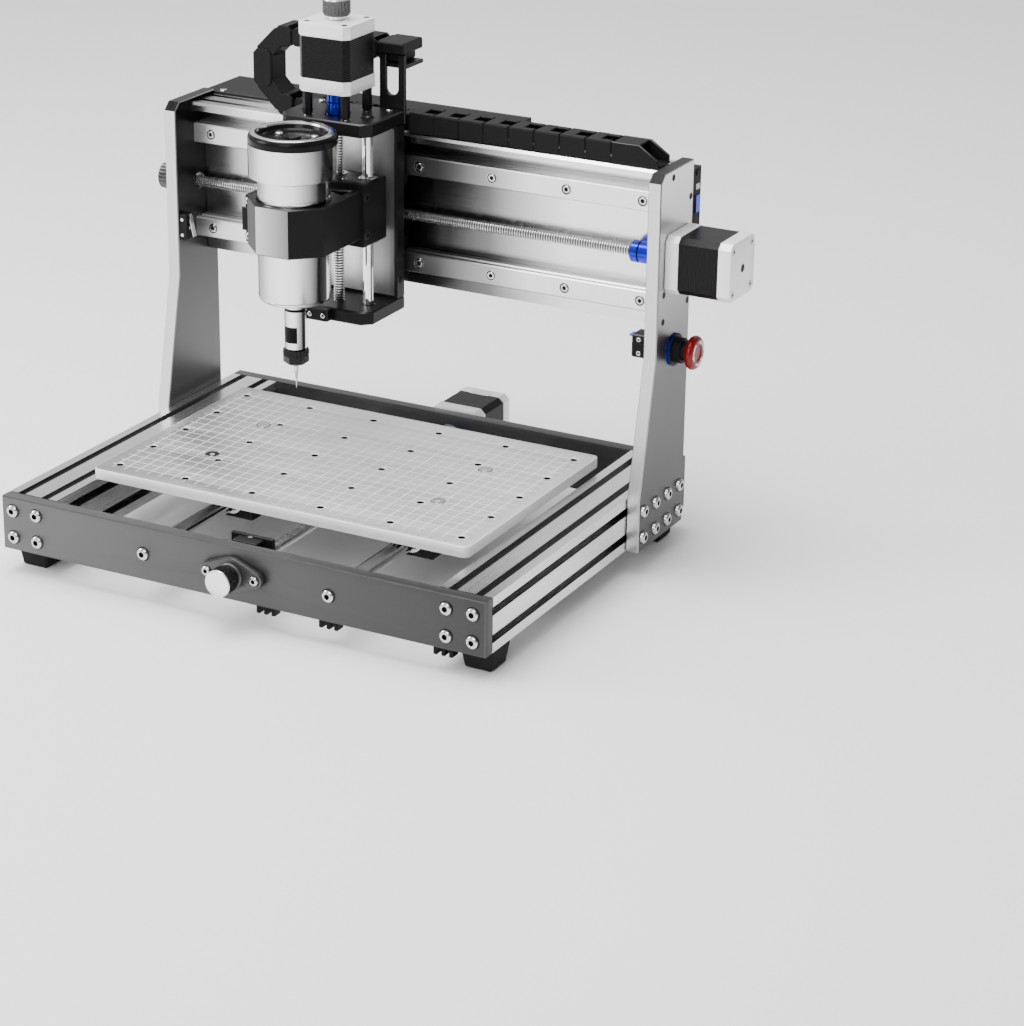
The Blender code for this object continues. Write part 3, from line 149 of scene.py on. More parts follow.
def paint(name, fixed, look):
    """A material: `fixed` is set on its shader, and look(place) gives what changes over the surface."""
    made = bpy.data.materials.new(name)
    made.use_nodes = True
    tree = made.node_tree
    shader = tree.nodes["Principled BSDF"]
    for key, value in fixed.items():
        shader.inputs[key].default_value = value
    coordinates = tree.nodes.new("ShaderNodeTexCoord")
    for key, value in look(Signal(tree, coordinates.outputs["Object"])).items():
        if isinstance(value, Signal):
            tree.links.new(value.socket, shader.inputs[key])
        else:
            shader.inputs[key].default_value = value
    return made


def grey(value):
    return (value, value, value, 1)


def mottle(place, scale, detail, shades, roughness, dents=None):
    """An even finish whose grey, roughness and fine dents follow one noise. roughness is how much
    it varies and its least, and dents are their strength and depth."""
    grain = place.noise(scale, detail)
    look = {
        "Base Color": grain.between(grey(shades[0]), grey(shades[1])),
        "Roughness": grain * roughness[0] + roughness[1],
    }
    if dents:
        look["Normal"] = grain.bump(*dents)
    return look


def floor_look(place):
    return mottle(place, 3.0, 2.0, (0.93, 0.96), (0.1, 0.62))


def area_lamp(name, place, target, width, height, power):
    data = bpy.data.lights.new(name, "AREA")
    data.shape = "RECTANGLE"
    data.size = width
    data.size_y = height
    data.energy = power
    lamp = bpy.data.objects.new(name, data)
    bpy.context.scene.collection.objects.link(lamp)
    lamp.location = place
    lamp.rotation_euler = (Vector(target) - Vector(place)).to_track_quat("-Z", "Y").to_euler()


floor_mesh = bpy.data.meshes.new("floor")
FLOOR_HALF = 6.0
corners = [(x * FLOOR_HALF, y * FLOOR_HALF, 0) for x, y in ((-1, -1), (1, -1), (1, 1), (-1, 1))]
floor_mesh.from_pydata(corners, [], [(0, 1, 2, 3)])
floor_mesh.materials.append(paint("pale_floor", {}, floor_look))
floor = bpy.data.objects.new("floor", floor_mesh)
bpy.context.scene.collection.objects.link(floor)

SKY_STRENGTH = 1.35
world = bpy.data.worlds.new("studio")
world.use_nodes = True
bpy.context.scene.world = world
sky = world.node_tree.nodes["Background"]
direction = world.node_tree.nodes.new("ShaderNodeTexCoord")
up = Signal(world.node_tree, direction.outputs["Generated"])
split = up.node("SeparateXYZ", {}, {0: up})
height = Signal(world.node_tree, split.socket.node.outputs[2])
side = Signal(world.node_tree, split.socket.node.outputs[0])
dome = height.node(
    "ValToRGB",
    {"stops": [(0.0, grey(0.5)), (0.3, (0.75, 0.75, 0.76, 1)), (1.0, grey(1.0))]},
    {0: height},
)
flag = side.node(
    "ValToRGB",
    {"stops": [(0.0, grey(1.0)), (0.62, grey(0.85)), (0.8, grey(0.3))]},
    {0: side * 0.5 + 0.5},
)
multiply = {"data_type": "RGBA", "blend_type": "MULTIPLY"}
both = dome.node("Mix", multiply, {0: 1.0, 6: dome, 7: flag}, 2)
world.node_tree.links.new(both.socket, sky.inputs["Color"])
sky.inputs["Strength"].default_value = SKY_STRENGTH
area_lamp("overhead_lamp", (-0.3, -0.2, 1.9), (0, 0, 0.1), 1.6, 1.2, 52)
area_lamp("left_lamp", (-1.8, -1.1, 1.2), (0, 0, 0.15), 0.9, 1.3, 36)
area_lamp("front_lamp", (0.3, -2.2, 1.3), (0, 0, 0.15), 1.0, 0.8, 16)

CAMERA_TURN = math.radians(27.459)
CAMERA_RISE = math.radians(21.848)
CAMERA_ROLL = math.radians(0.768)
CAMERA_AWAY = 2.114
CAMERA_LENS = 104.8772
CAMERA_SHIFT = (0.0012378, -0.0002534)
CAMERA_TARGET = Vector((0.131012, 0, 0.054144))
camera_data = bpy.data.cameras.new("camera")
camera_data.sensor_width = 36.0
camera_data.lens = CAMERA_LENS
camera_data.shift_x = CAMERA_SHIFT[0]
camera_data.shift_y = CAMERA_SHIFT[1]
camera = bpy.data.objects.new("camera", camera_data)
bpy.context.scene.collection.objects.link(camera)
back = Vector(
    (
        math.sin(CAMERA_TURN) * math.cos(CAMERA_RISE),
        -math.cos(CAMERA_TURN) * math.cos(CAMERA_RISE),
        math.sin(CAMERA_RISE),
    )
)
level = Vector((math.cos(CAMERA_TURN), math.sin(CAMERA_TURN), 0))
upright_way = back.cross(level)
right = math.cos(CAMERA_ROLL) * level + math.sin(CAMERA_ROLL) * upright_way
above = -math.sin(CAMERA_ROLL) * level + math.cos(CAMERA_ROLL) * upright_way
camera.rotation_mode = "QUATERNION"
camera.rotation_quaternion = Matrix((right, above, back)).transposed().to_quaternion()
camera.location = ORIGIN + CAMERA_TARGET + back * CAMERA_AWAY
bpy.context.scene.camera = camera

# ---- End plates ----
# Two flat aluminium plates, anodised in a satin graphite, with fine dark chamfers. Painted light makes them
# lighter towards the left and darker to the right. They close the ends of the side profiles and carry the
# bed's drive.

AXIS_TURN = {
    "X": Matrix(((0, 0, 1), (1, 0, 0), (0, 1, 0))).to_4x4(),
    "Y": Matrix(((1, 0, 0), (0, 0, -1), (0, 1, 0))).to_4x4(),
    "Z": Matrix.Identity(4),
}


def span(node):
    """A CAD node's lowest and highest corner in the sections' millimetres."""
    low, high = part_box(node)
    return (low - ORIGIN) / MM, (high - ORIGIN) / MM


class Piece:
    """Gathers the solids of one named piece, each in one of its finishes."""

    def __init__(self, name, *finishes):
        self.name = name
        self.finishes = finishes
        self.shape = bmesh.new()

    def take(self, part, finish=0, rim=None, axis=None):
        """Adds a solid. With rim, the faces of its chamfers get that finish: those that lean away
        from the axis and from its sides or, with no axis, from all three axes."""
        bmesh.ops.recalc_face_normals(part, faces=part.faces)
        part.normal_update()
        for face in part.faces:
            face.material_index = finish
            if rim is None:
                continue
            normal = face.normal
            if axis is None:
                leans = max(abs(n) for n in normal) < 0.97
            else:
                leans = 0.2 < abs(normal["XYZ".index(axis)]) < 0.97
            if leans:
                face.material_index = rim
        self.join(part)

    def join(self, part):
        mesh = bpy.data.meshes.new("part")
        part.to_mesh(mesh)
        part.free()
        self.shape.from_mesh(mesh)
        bpy.data.meshes.remove(mesh)

    def block(self, low, high, finish=0, edge=0.0, rim=None):
        part = bmesh.new()
        bmesh.ops.create_cube(part, size=1)
        bmesh.ops.scale(part, vec=Vector(high) - Vector(low), verts=part.verts)
        bmesh.ops.translate(part, vec=(Vector(high) + Vector(low)) / 2, verts=part.verts)
        if edge:
            bmesh.ops.bevel(part, geom=part.edges[:], offset=edge, segments=1, affect="EDGES")
        self.take(part, finish, rim)

    def plate(self, axis, rings, low, high, finish=0, edge=0.0, rim=None, rounds=0):
        """An outline with holes, extruded along an axis, with its edges chamfered. A ring's points
        are (Y, Z) along X, (X, Z) along Y and (X, Y) along Z."""
        curve = bpy.data.curves.new("outline", "CURVE")
        curve.dimensions = "2D"
        curve.fill_mode = "BOTH"
        curve.extrude = (high - low) / 2 - edge
        curve.bevel_depth = edge
        curve.bevel_resolution = rounds
        curve.offset = -edge
        for ring in rings:
            spline = curve.splines.new("POLY")
            spline.points.add(len(ring) - 1)
            for point, (first, second) in zip(spline.points, ring):
                point.co = (first, second, 0, 1)
            spline.use_cyclic_u = True
        source = bpy.data.objects.new("outline", curve)
        bpy.context.scene.collection.objects.link(source)
        graph = bpy.context.evaluated_depsgraph_get()
        mesh = bpy.data.meshes.new_from_object(source.evaluated_get(graph))
        part = bmesh.new()
        part.from_mesh(mesh)
        bmesh.ops.remove_doubles(part, verts=part.verts, dist=0.001)
        middle = (low + high) / 2
        along = Vector({"X": (middle, 0, 0), "Y": (0, middle, 0), "Z": (0, 0, middle)}[axis])
        bmesh.ops.transform(part, matrix=Matrix.Translation(along) @ AXIS_TURN[axis], verts=part.verts)
        bpy.data.objects.remove(source)
        bpy.data.curves.remove(curve)
        bpy.data.meshes.remove(mesh)
        self.take(part, finish, rim, axis)

    def turn(self, axis, centre, profile, finish=0, steps=32, bands=()):
        """A turned solid. A profile entry is (radius, place along the axis), and may add a count
        of flats, or (count, depth) of ridges. A profile that misses the axis closes on itself.
        bands gives the finish of the surface from each entry to the next where it isn't `finish`."""
        part = bmesh.new()
        rings = []
        for radius, place, *shape in profile:
            if radius == 0:
                rings.append([part.verts.new((0, 0, place))])
                continue
            ring = []
            for step in range(steps):
                angle = 2 * math.pi * step / steps
                reach = radius
                if shape and isinstance(shape[0], int):
                    flat = 2 * math.pi / shape[0]
                    reach = radius / math.cos((angle + flat / 2) % flat - flat / 2)
                elif shape:
                    reach = radius - shape[0][1] * (step % 2)
                ring.append(part.verts.new((reach * math.cos(angle), reach * math.sin(angle), place)))
            rings.append(ring)
        pairs = list(zip(rings, rings[1:]))
        if len(rings[0]) > 1 and len(rings[-1]) > 1:
            pairs.append((rings[-1], rings[0]))
        marked = dict(bands)
        chosen = {}
        for index, (first, second) in enumerate(pairs):
            for step in range(steps):
                after = (step + 1) % steps
                corners = [first[step % len(first)], first[after % len(first)]]
                corners += [second[after % len(second)], second[step % len(second)]]
                corners = list(dict.fromkeys(corners))
                face = part.faces.new(corners)
                chosen[face] = marked.get(index, finish)
        first, second = centre
        places = {"X": (0, first, second), "Y": (first, 0, second), "Z": (first, second, 0)}
        turned = AXIS_TURN[axis]
        if axis == "Y":
            turned = turned @ Matrix.Scale(-1, 4, (0, 0, 1))
        matrix = Matrix.Translation(places[axis]) @ turned
        bmesh.ops.transform(part, matrix=matrix, verts=part.verts)
        bmesh.ops.recalc_face_normals(part, faces=part.faces)
        for face, colour in chosen.items():
            face.material_index = colour
        self.join(part)

    def screw(self, axis, centre, seat, way, radius, height, finish=0, socket=1, sides=6):
        """A button head on its seat, facing along way, with a hexagon socket. The socket and a thin ring
        round the seat take the socket finish, painted shade.
        """
        hexagon = radius * 0.42
        deep = height * 0.7
        profile = [
            (0, seat + way * (height - deep)),
            (hexagon, seat + way * (height - deep), sides),
            (hexagon, seat + way * (height - 0.1), sides),
            (hexagon * 1.25, seat + way * height),
            (radius * 0.72, seat + way * height * 0.93),
            (radius * 0.93, seat + way * height * 0.62),
            (radius, seat + way * 0.12),
            (radius + 0.5, seat + way * 0.1),
            (radius + 0.5, seat),
            (0, seat),
        ]
        self.turn(axis, centre, profile, finish, 24, ((0, socket), (1, socket), (6, socket)))

    def done(self, body, slot, *replaced, angle=34):
        """Makes the object, and says what it rides on and the CAD nodes it stands for. Its slot is not used.
        """
        bmesh.ops.scale(self.shape, vec=(MM, MM, MM), verts=self.shape.verts)
        bmesh.ops.translate(self.shape, vec=ORIGIN, verts=self.shape.verts)
        mesh = bpy.data.meshes.new(self.name)
        self.shape.to_mesh(mesh)
        self.shape.free()
        for finish in self.finishes:
            mesh.materials.append(finish)
        mesh.shade_smooth()
        mesh.set_sharp_from_angle(angle=math.radians(angle))
        made = bpy.data.objects.new(self.name, mesh)
        bpy.context.scene.collection.objects.link(made)
        if body:
            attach(made, body)
        if replaced:
            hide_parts(*replaced)
        return made


def arc(centre_x, centre_y, radius, start, end, steps):
    """Points of an arc between two angles in degrees, both ends included."""
    turns = (math.radians(start + (end - start) * step / steps) for step in range(steps + 1))
    return [(centre_x + radius * math.cos(a), centre_y + radius * math.sin(a)) for a in turns]


def hole(centre_x, centre_y, radius, steps=20):
    return arc(centre_x, centre_y, radius, 0, 360 - 360 / steps, steps - 1)


BASE_WIDTH = 390.0


# Graphite with painted light: lighter towards the left, darker to the right.
def graphite_look(place):
    grain = place.noise(1400.0, 3.0)
    cloud = place.noise(9.0, 2.0)
    x = place.axes()[0]
    painted_fade = 0.5 - x / BASE_WIDTH
    tone = painted_fade * 0.7 + cloud * 0.15 + grain * 0.15
    return {
        "Base Color": tone.between(grey(0.03), grey(0.13)),
        "Roughness": grain * 0.12 + 0.36,
        "Normal": grain.bump(0.08, 0.0002),
    }


def chamfer_look(place):
    streak = place.noise(60.0, 2.0, (1, 20, 20))
    return {"Base Color": streak.between(grey(0.3), grey(0.45)), "Roughness": streak * 0.2 + 0.25}


def screw_look(place):
    return mottle(place, 300.0, 2.0, (0.5, 0.66), (0.1, 0.1))


# Near black: painted shade in sockets, holes, grooves and round screw seats, and the real black of some
# terminal blocks.
def socket_look(place):
    return mottle(place, 500.0, 2.0, (0.003, 0.01), (0.2, 0.4))


# The dark chamfers of the graphite plates. The same finish paints the shade in the roots of the lead screws'
# threads.
def plate_edge_look(place):
    streak = place.noise(60.0, 2.0, (1, 20, 20))
    return {"Base Color": streak.between(grey(0.05), grey(0.1)), "Roughness": streak * 0.2 + 0.25}


EDGE_AND_ROOT_SHADE = paint("graphite_chamfer_and_root_shade", {"Metallic": 0.9}, plate_edge_look)
GRAPHITE = paint("graphite_anodised", {"Metallic": 0.75}, graphite_look)
CHAMFER = paint("machined_chamfer", {"Metallic": 1.0}, chamfer_look)
SCREW = paint("nickel_screw", {"Metallic": 1.0}, screw_look)
BLACK_AND_SHADE = paint("black_and_painted_shade", {"Metallic": 0.3, "Specular IOR Level": 0.1}, socket_look)

BED_SCREW_Z = 38.5
PROFILE_PITCH = 20.0
OUTER_COLUMN = 185.6
ROD_X = 75.0
ROD_Z = 37.5
BOLT_HEAD = (4.7, 2.7)


def rectangle(left, bottom, right, top):
    return [(left, bottom), (right, bottom), (right, top), (left, top)]


for end, way in (("front", -1), ("rear", 1)):
    low, high = span(end + "_plate")
    plate = Piece(end + "_plate_finish", GRAPHITE, EDGE_AND_ROOT_SHADE)
    outline = rectangle(low.x, low.z, high.x, high.z)
    opening = hole(0, BED_SCREW_Z, 5.5 if way < 0 else 11.5, 32)
    plate.plate("Y", [outline, opening], low.y, high.y, 0, 0.8, 1, 1)
    plate.done("base", "dark_anodised", end + "_plate")
    seat = low.y if way < 0 else high.y
    screws = Piece(end + "_plate_screws", SCREW, BLACK_AND_SHADE)
    middle = (low.z + high.z) / 2
    for side in (-1, 1):
        for column in (OUTER_COLUMN, OUTER_COLUMN - PROFILE_PITCH):
            for row in (-PROFILE_PITCH / 2, PROFILE_PITCH / 2):
                screws.screw("Y", (side * column, middle + row), seat, way, *BOLT_HEAD)
        screws.screw("Y", (side * ROD_X, ROD_Z), seat, way, *BOLT_HEAD)
    screws.done("base", "bright_steel")

# ---- Side profiles ----
# Two 40 mm square extrusions with a pair of T slots on each face, clear anodised. The draw of the die shows
# as fine streaks along them. Their slots are painted darker than the faces, as shade, and painted light makes
# them brighter towards the rear.

PROFILE_MIDDLE = (175.0, 37.8)
PROFILE_SKIN = 19.6


def extruded_look(place):
    """Bright on the outside of the section, with painted shade down in its slots and painted light brighter
    towards the rear.
    """
    x, y, z = place.axes()
    streak = place.noise(1.0, 3.0, (900, 3, 900))
    cloud = place.noise(6.0, 1.0)
    outside = abs(abs(x) - PROFILE_MIDDLE[0]) > PROFILE_SKIN
    outside = outside.sum("MAXIMUM", outside, abs(z - PROFILE_MIDDLE[1]) > PROFILE_SKIN)
    tone = streak * 0.35 + cloud * 0.3 + (y + 150) / 300 * 0.35
    bright = tone.between(grey(0.5), grey(0.97))
    slot_shade = tone.between(grey(0.12), grey(0.5))
    return {
        "Base Color": outside.between(slot_shade, bright),
        "Roughness": streak * 0.12 + 0.22,
        "Normal": streak.bump(0.1, 0.0001),
    }


def finish_node(name, material):
    NODES[name].data.materials.clear()
    NODES[name].data.materials.append(material)


PROFILE = paint("drawn_aluminium", {"Metallic": 1.0}, extruded_look)
for side in ("left", "right"):
    finish_node("side_profile_" + side, PROFILE)

# ---- Feet ----
# Four tapered rubber feet, moulded in black, pressed under the ends of the profiles.


def rubber_look(place):
    return mottle(place, 700.0, 4.0, (0.008, 0.022), (0.25, 0.6), (0.3, 0.0003))


DULL = {"Specular IOR Level": 0.1}
RUBBER = paint("moulded_rubber", DULL, rubber_look)
for end in ("front", "rear"):
    for side in ("left", "right"):
        finish_node(f"foot_{end}_{side}", RUBBER)

# ---- Bed guide rods ----
# Ground and chromed 12 mm rods between the end plates, with a fine lengthways polish.


def ground_look(place):
    ring = place.noise(1.0, 2.0, (1200, 60, 1200))
    return {"Base Color": ring.between(grey(0.78), grey(0.9)), "Roughness": ring * 0.08 + 0.05}


GROUND = paint("ground_chrome", {"Metallic": 1.0}, ground_look)
for side in ("left", "right"):
    finish_node("bed_rod_" + side, GROUND)

# ---- Bearing flange ----
# A rhombic two-bolt flange in graphite anodised aluminium, holding the front bearing of the bed's
# lead screw.

low, high = span("bed_bearing_flange")
FLANGE_THICK = 5.0
EAR_X = 19.2
EAR_RADIUS = 6.0
hub_radius = (high.z - low.z) / 2
lean = math.degrees(math.acos((hub_radius - EAR_RADIUS) / EAR_X))
ring = arc(0, BED_SCREW_Z, hub_radius, lean, 180 - lean, 12)
ring += arc(-EAR_X, BED_SCREW_Z, EAR_RADIUS, 180 - lean, 180 + lean, 10)
ring += arc(0, BED_SCREW_Z, hub_radius, 180 + lean, 360 - lean, 12)
ring += arc(EAR_X, BED_SCREW_Z, EAR_RADIUS, -lean, lean, 10)
flange = Piece("bed_bearing_flange_finish", GRAPHITE, EDGE_AND_ROOT_SHADE, SCREW, BLACK_AND_SHADE)
flange.plate("Y", [ring, hole(0, BED_SCREW_Z, 9)], high.y - FLANGE_THICK, high.y, 0, 0.7, 1, 1)
flange.turn(
    "Y",
    (0, BED_SCREW_Z),
    [(4.6, low.y), (8.6, low.y), (9.6, low.y + 1), (9.6, high.y - 0.4), (4.6, high.y - 0.4)],
    0,
    40,
    ((0, 1),),
)
for side in (-1, 1):
    flange.screw("Y", (side * EAR_X, BED_SCREW_Z), high.y - FLANGE_THICK, -1, 3.6, 2.0, 2, 3)
flange.done("base", "dark_anodised", "bed_bearing_flange")

# ---- Lead screws ----
# Rolled steel screws, their thread drawn as even ridges 2 mm apart with painted shade in their roots: one for
# the bed, one along the gantry and one for the lift.

THREAD_DEPTH = 0.75
THREAD_PITCH = 2.0


def thread(piece, axis, centre, start, end, radius):
    """Rolled ridges along a screw, its ends cut square."""
    profile = [(0, start), (radius, start)]
    root_shade_bands = []
    for turn in range(int((end - start - 1) / THREAD_PITCH)):
        ridge = start + 0.6 + turn * THREAD_PITCH
        # Each root takes the second finish, painted shade.
        root_shade_bands.append((len(profile) + 1, 1))
        profile += [(radius, ridge), (radius - THREAD_DEPTH, ridge + 0.2)]
        profile += [(radius - THREAD_DEPTH, ridge + 1.1), (radius, ridge + 1.3)]
    piece.turn(axis, centre, profile + [(radius, end), (0, end)], 0, 18, root_shade_bands)


def rolled_look(place):
    return mottle(place, 220.0, 3.0, (0.66, 0.88), (0.12, 0.2))


ROLLED = paint("rolled_steel", {"Metallic": 1.0}, rolled_look)
GANTRY_AXIS = (106.0, 225.6)
CARRIAGE_X = -45.2
LIFT_Y = 61.2
low, high = span("bed_lead_screw")
screw = Piece("bed_lead_screw_thread", ROLLED, EDGE_AND_ROOT_SHADE)
thread(screw, "Y", (0, BED_SCREW_Z), low.y, high.y, 4.0)
screw.done("bed_screw", "bright_steel", "bed_lead_screw")
low, high = span("gantry_lead_screw")
screw = Piece("gantry_lead_screw_thread", ROLLED, EDGE_AND_ROOT_SHADE)
thread(screw, "X", GANTRY_AXIS, low.x, high.x, 4.0)
screw.done("gantry_screw", "bright_steel", "gantry_lead_screw")
low, high = span("lift_lead_screw")
screw = Piece("lift_lead_screw_thread", ROLLED, EDGE_AND_ROOT_SHADE)
thread(screw, "Z", (CARRIAGE_X, LIFT_Y), low.z, high.z, 4.0)
screw.done("lift_screw", "bright_steel", "lift_lead_screw")

# ---- Hand knobs ----
# Turned aluminium knobs with a knurled rim painted dark, as the shade in its valleys, and a bright faced end,
# for moving each screw by hand. The bore in the hub is painted near black, as shade.


# Painted shade: the knurl's valleys drawn as a dark grey over the whole rim.
def knurl_look(place):
    return mottle(place, 500.0, 2.0, (0.04, 0.12), (0.12, 0.2))


def faced_look(place):
    return mottle(place, 420.0, 2.0, (0.86, 0.96), (0.12, 0.24))


SHADED_KNURL = paint("knurl_painted_shade", {"Metallic": 1.0}, knurl_look)
FACED = paint("faced_aluminium", {"Metallic": 1.0}, faced_look)


def hand_knob(name, axis, centre, tip, way, hub_end, body, node):
    knob = Piece(name, SHADED_KNURL, FACED, BLACK_AND_SHADE)
    teeth = (26, 0.7)
    profile = [
        (0, tip + way * 0.2),
        (8.6, tip + way * 0.2),
        (9.0, tip),
        (9.5, tip + way * 0.1),
        (9.8, tip + way * 1.0),
        (9.98, tip + way * 1.4, teeth),
        (9.98, tip + way * 10.4, teeth),
        (9.6, tip + way * 10.8),
        (9.2, tip + way * 12),
        (6.0, tip + way * 12.2),
        (6.0, hub_end),
        (2.9, hub_end),
        (2.9, hub_end - way * 1.5),
        (0, hub_end - way * 1.5),
    ]
    bands = ((0, 1), (1, 1), (2, 1), (3, 1), (8, 1), (9, 1), (10, 1), (11, 2), (12, 2))
    knob.turn(axis, centre, profile, 0, 52, bands)
    knob.done(body, "bright_steel", node)


low, high = span("bed_knob")
hand_knob("bed_knob_turned", "Y", (0, BED_SCREW_Z), low.y, 1, high.y, "bed_screw", "bed_knob")
low, high = span("gantry_knob")
hand_knob("gantry_knob_turned", "X", GANTRY_AXIS, low.x, 1, high.x, "gantry_screw", "gantry_knob")
low, high = span("lift_knob")
LIFT_AXIS = (CARRIAGE_X, LIFT_Y)
hand_knob("lift_knob_turned", "Z", LIFT_AXIS, high.z, -1, low.z, "lift_screw", "lift_knob")

# ---- Shaft couplings ----
# Blue anodised sleeves with two grooves round their middle, their floors painted near black as shade, joining
# each motor shaft to its lead screw.


def blue_look(place):
    grain = place.noise(300.0, 2.0)
    blue = grain.between((0.0, 0.006, 0.3, 1), (0.002, 0.02, 0.55, 1))
    return {"Base Color": blue, "Roughness": grain * 0.15 + 0.16}


BLUE = paint("blue_anodised", {"Metallic": 0.85, "Coat Weight": 0.3}, blue_look)


def sleeve(name, axis, centre, start, end, body, node):
    tube = Piece(name, BLUE, BLACK_AND_SHADE)
    middle = (start + end) / 2
    profile = [
        (4.3, start),
        (7.4, start),
        (8.0, start + 0.6),
        (8.0, middle - 5.2),
        (7.3, middle - 5.0),
        (7.3, middle - 4.2),
        (8.0, middle - 4.0),
        (8.0, middle + 4.0),
        (7.3, middle + 4.2),
        (7.3, middle + 5.0),
        (8.0, middle + 5.2),
        (8.0, end - 0.6),
        (7.4, end),
        (4.3, end),
    ]
    # Painted shade on the floors of the two grooves.
    tube.turn(axis, centre, profile, 0, 48, ((4, 1), (8, 1)))
    tube.done(body, "blue_anodised", node)


low, high = span("bed_coupling")
sleeve("bed_coupling_sleeve", "Y", (0, BED_SCREW_Z), low.y, high.y, "bed_screw", "bed_coupling")
low, high = span("gantry_coupling")
sleeve("gantry_coupling_sleeve", "X", GANTRY_AXIS, low.x, high.x, "gantry_screw", "gantry_coupling")
low, high = span("lift_coupling")
sleeve("lift_coupling_sleeve", "Z", LIFT_AXIS, low.z, high.z, "lift_screw", "lift_coupling")

# ---- Stepping motors ----
# Square motors with cast end caps in pale satin aluminium, a stack of black steel laminations between them
# and screws at the corners. Painted shade fills the gaps between the laminations, the hole of the rear
# bearing and the sockets and seat rings of the corner screws. The bed's motor has a small white plug socket.

MOTOR_LENGTH = 50.0
MOTOR_HALF = 21.15
MOTOR_BOLT = 15.5
CAP_LENGTH = 10.0
LAMINATION = 1.25


def cast_look(place):
    return mottle(place, 900.0, 4.0, (0.88, 0.95), (0.14, 0.34), (0.2, 0.0002))


def lamination_look(place):
    return mottle(place, 800.0, 2.0, (0.008, 0.02), (0.1, 0.28))


def plug_look(place):
    return mottle(place, 400.0, 2.0, (0.72, 0.8), (0.1, 0.42))


CAST = paint("cast_motor_cap", {"Metallic": 0.35}, cast_look)
LAMINATIONS = paint("black_laminations", {"Metallic": 0.6, "Specular IOR Level": 0.2}, lamination_look)
PLUG = paint("white_plug", {}, plug_look)


def square_ring(centre, inset, chamfer=4.0):
    """The motor's outline, with its corners cut."""
    reach = MOTOR_HALF - inset
    cut = reach - chamfer
    points = [(reach, -cut), (reach, cut), (cut, reach), (-cut, reach)]
    points += [(-reach, cut), (-reach, -cut), (-cut, -reach), (cut, -reach)]
    return [(centre[0] + first, centre[1] + second) for first, second in points]


def stepper(name, axis, centre, face, way, body, node, plug=None, shaft=20.0, rear_shaft=0.0):
    motor = Piece(name, CAST, LAMINATIONS, SCREW, BLACK_AND_SHADE, PLUG, CHAMFER)
    far = face + way * MOTOR_LENGTH

    def between(start, end):
        return sorted((face + way * start, face + way * end))

    for start, end in ((0, CAP_LENGTH), (MOTOR_LENGTH - CAP_LENGTH, MOTOR_LENGTH - 0.2)):
        motor.plate(axis, [square_ring(centre, 0)], *between(start, end), 0, 0.6, 0, 1)
    place = CAP_LENGTH
    while place < MOTOR_LENGTH - CAP_LENGTH - 0.01:
        motor.plate(axis, [square_ring(centre, 0.45)], *between(place - 0.1, place + 0.82), 1)
        # Painted shade in the gap between two laminations.
        motor.plate(axis, [square_ring(centre, 1.1)], *between(place + 0.8, place + LAMINATION), 3)
        place += LAMINATION
    pilot = [(0, face - way * 2), (10.6, face - way * 2), (11, face - way * 1.6)]
    motor.turn(axis, centre, pilot + [(11, face + way), (0, face + way)], 0, 40)
    tip = face - way * shaft
    motor.turn(axis, centre, [(0, tip), (2.2, tip), (2.5, tip + way * 0.4), (2.5, face), (0, face)], 2, 20)
    bearing = [(0, far - way * 0.1), (3.0, far - way * 0.1), (3.0, far - way * 0.01)]
    bearing += [(4.6, far - way * 0.01), (5.0, far - way * 0.3), (0, far - way * 0.8)]
    # Painted shade in the bearing's hole.
    motor.turn(axis, centre, bearing, 0, 32, ((0, 3), (1, 3)))
    if rear_shaft:
        tip = far + way * rear_shaft
        motor.turn(axis, centre, [(0, tip), (2.5, tip), (2.5, far), (0, far)], 2, 20)
    bolt = [(0, far - way * 0.1), (1.2, far - way * 0.1), (2.2, far)]
    bolt += [(2.6, far - way * 0.3), (0, far - way * 0.3)]
    for first in (-MOTOR_BOLT, MOTOR_BOLT):
        for second in (-MOTOR_BOLT, MOTOR_BOLT):
            spot = (centre[0] + first, centre[1] + second)
            # Painted shade in the socket and round the seat.
            motor.turn(axis, spot, bolt, 3, 16, ((1, 2),))
    if plug:
        motor.block(*plug, 4, 0.4)
    motor.done(body, "motor", node)


face = span("bed_motor")[1].y - MOTOR_LENGTH
plug = ((-8.5, face + 38, BED_SCREW_Z + 20.5), (8.5, face + 48, BED_SCREW_Z + 21.4))
stepper("bed_motor_body", "Y", (0, BED_SCREW_Z), face, 1, "base", "bed_motor", plug)
face = span("gantry_motor")[1].x - MOTOR_LENGTH
stepper("gantry_motor_body", "X", GANTRY_AXIS, face, 1, "base", "gantry_motor")
REAR_SHAFT = 10.0
face = span("lift_motor")[1].z - MOTOR_LENGTH - REAR_SHAFT
stepper("lift_motor_body", "Z", LIFT_AXIS, face, 1, "carriage", "lift_motor", None, 12.0, REAR_SHAFT)

# ---- Bed ----
# A flat satin aluminium bed with a 10 mm grid etched white and its numbers in grey, threaded holes on a pitch
# of 56 by 42.5 mm, and four flush screws into the bearing housings. Painted light makes the bed brightest
# across its middle and darker towards the front left corner, and painted shade darkens the hole walls and the
# rims of the flush screws.

BED_PITCH = (56.0, 42.5)
GRID = 10.0
LINE = 0.55
BED_PAINTED_LIGHT = [
    (0.0, grey(0.25)),
    (0.25, grey(0.5)),
    (0.5, grey(1.0)),
    (0.75, grey(0.95)),
    (1.0, grey(0.7)),
]


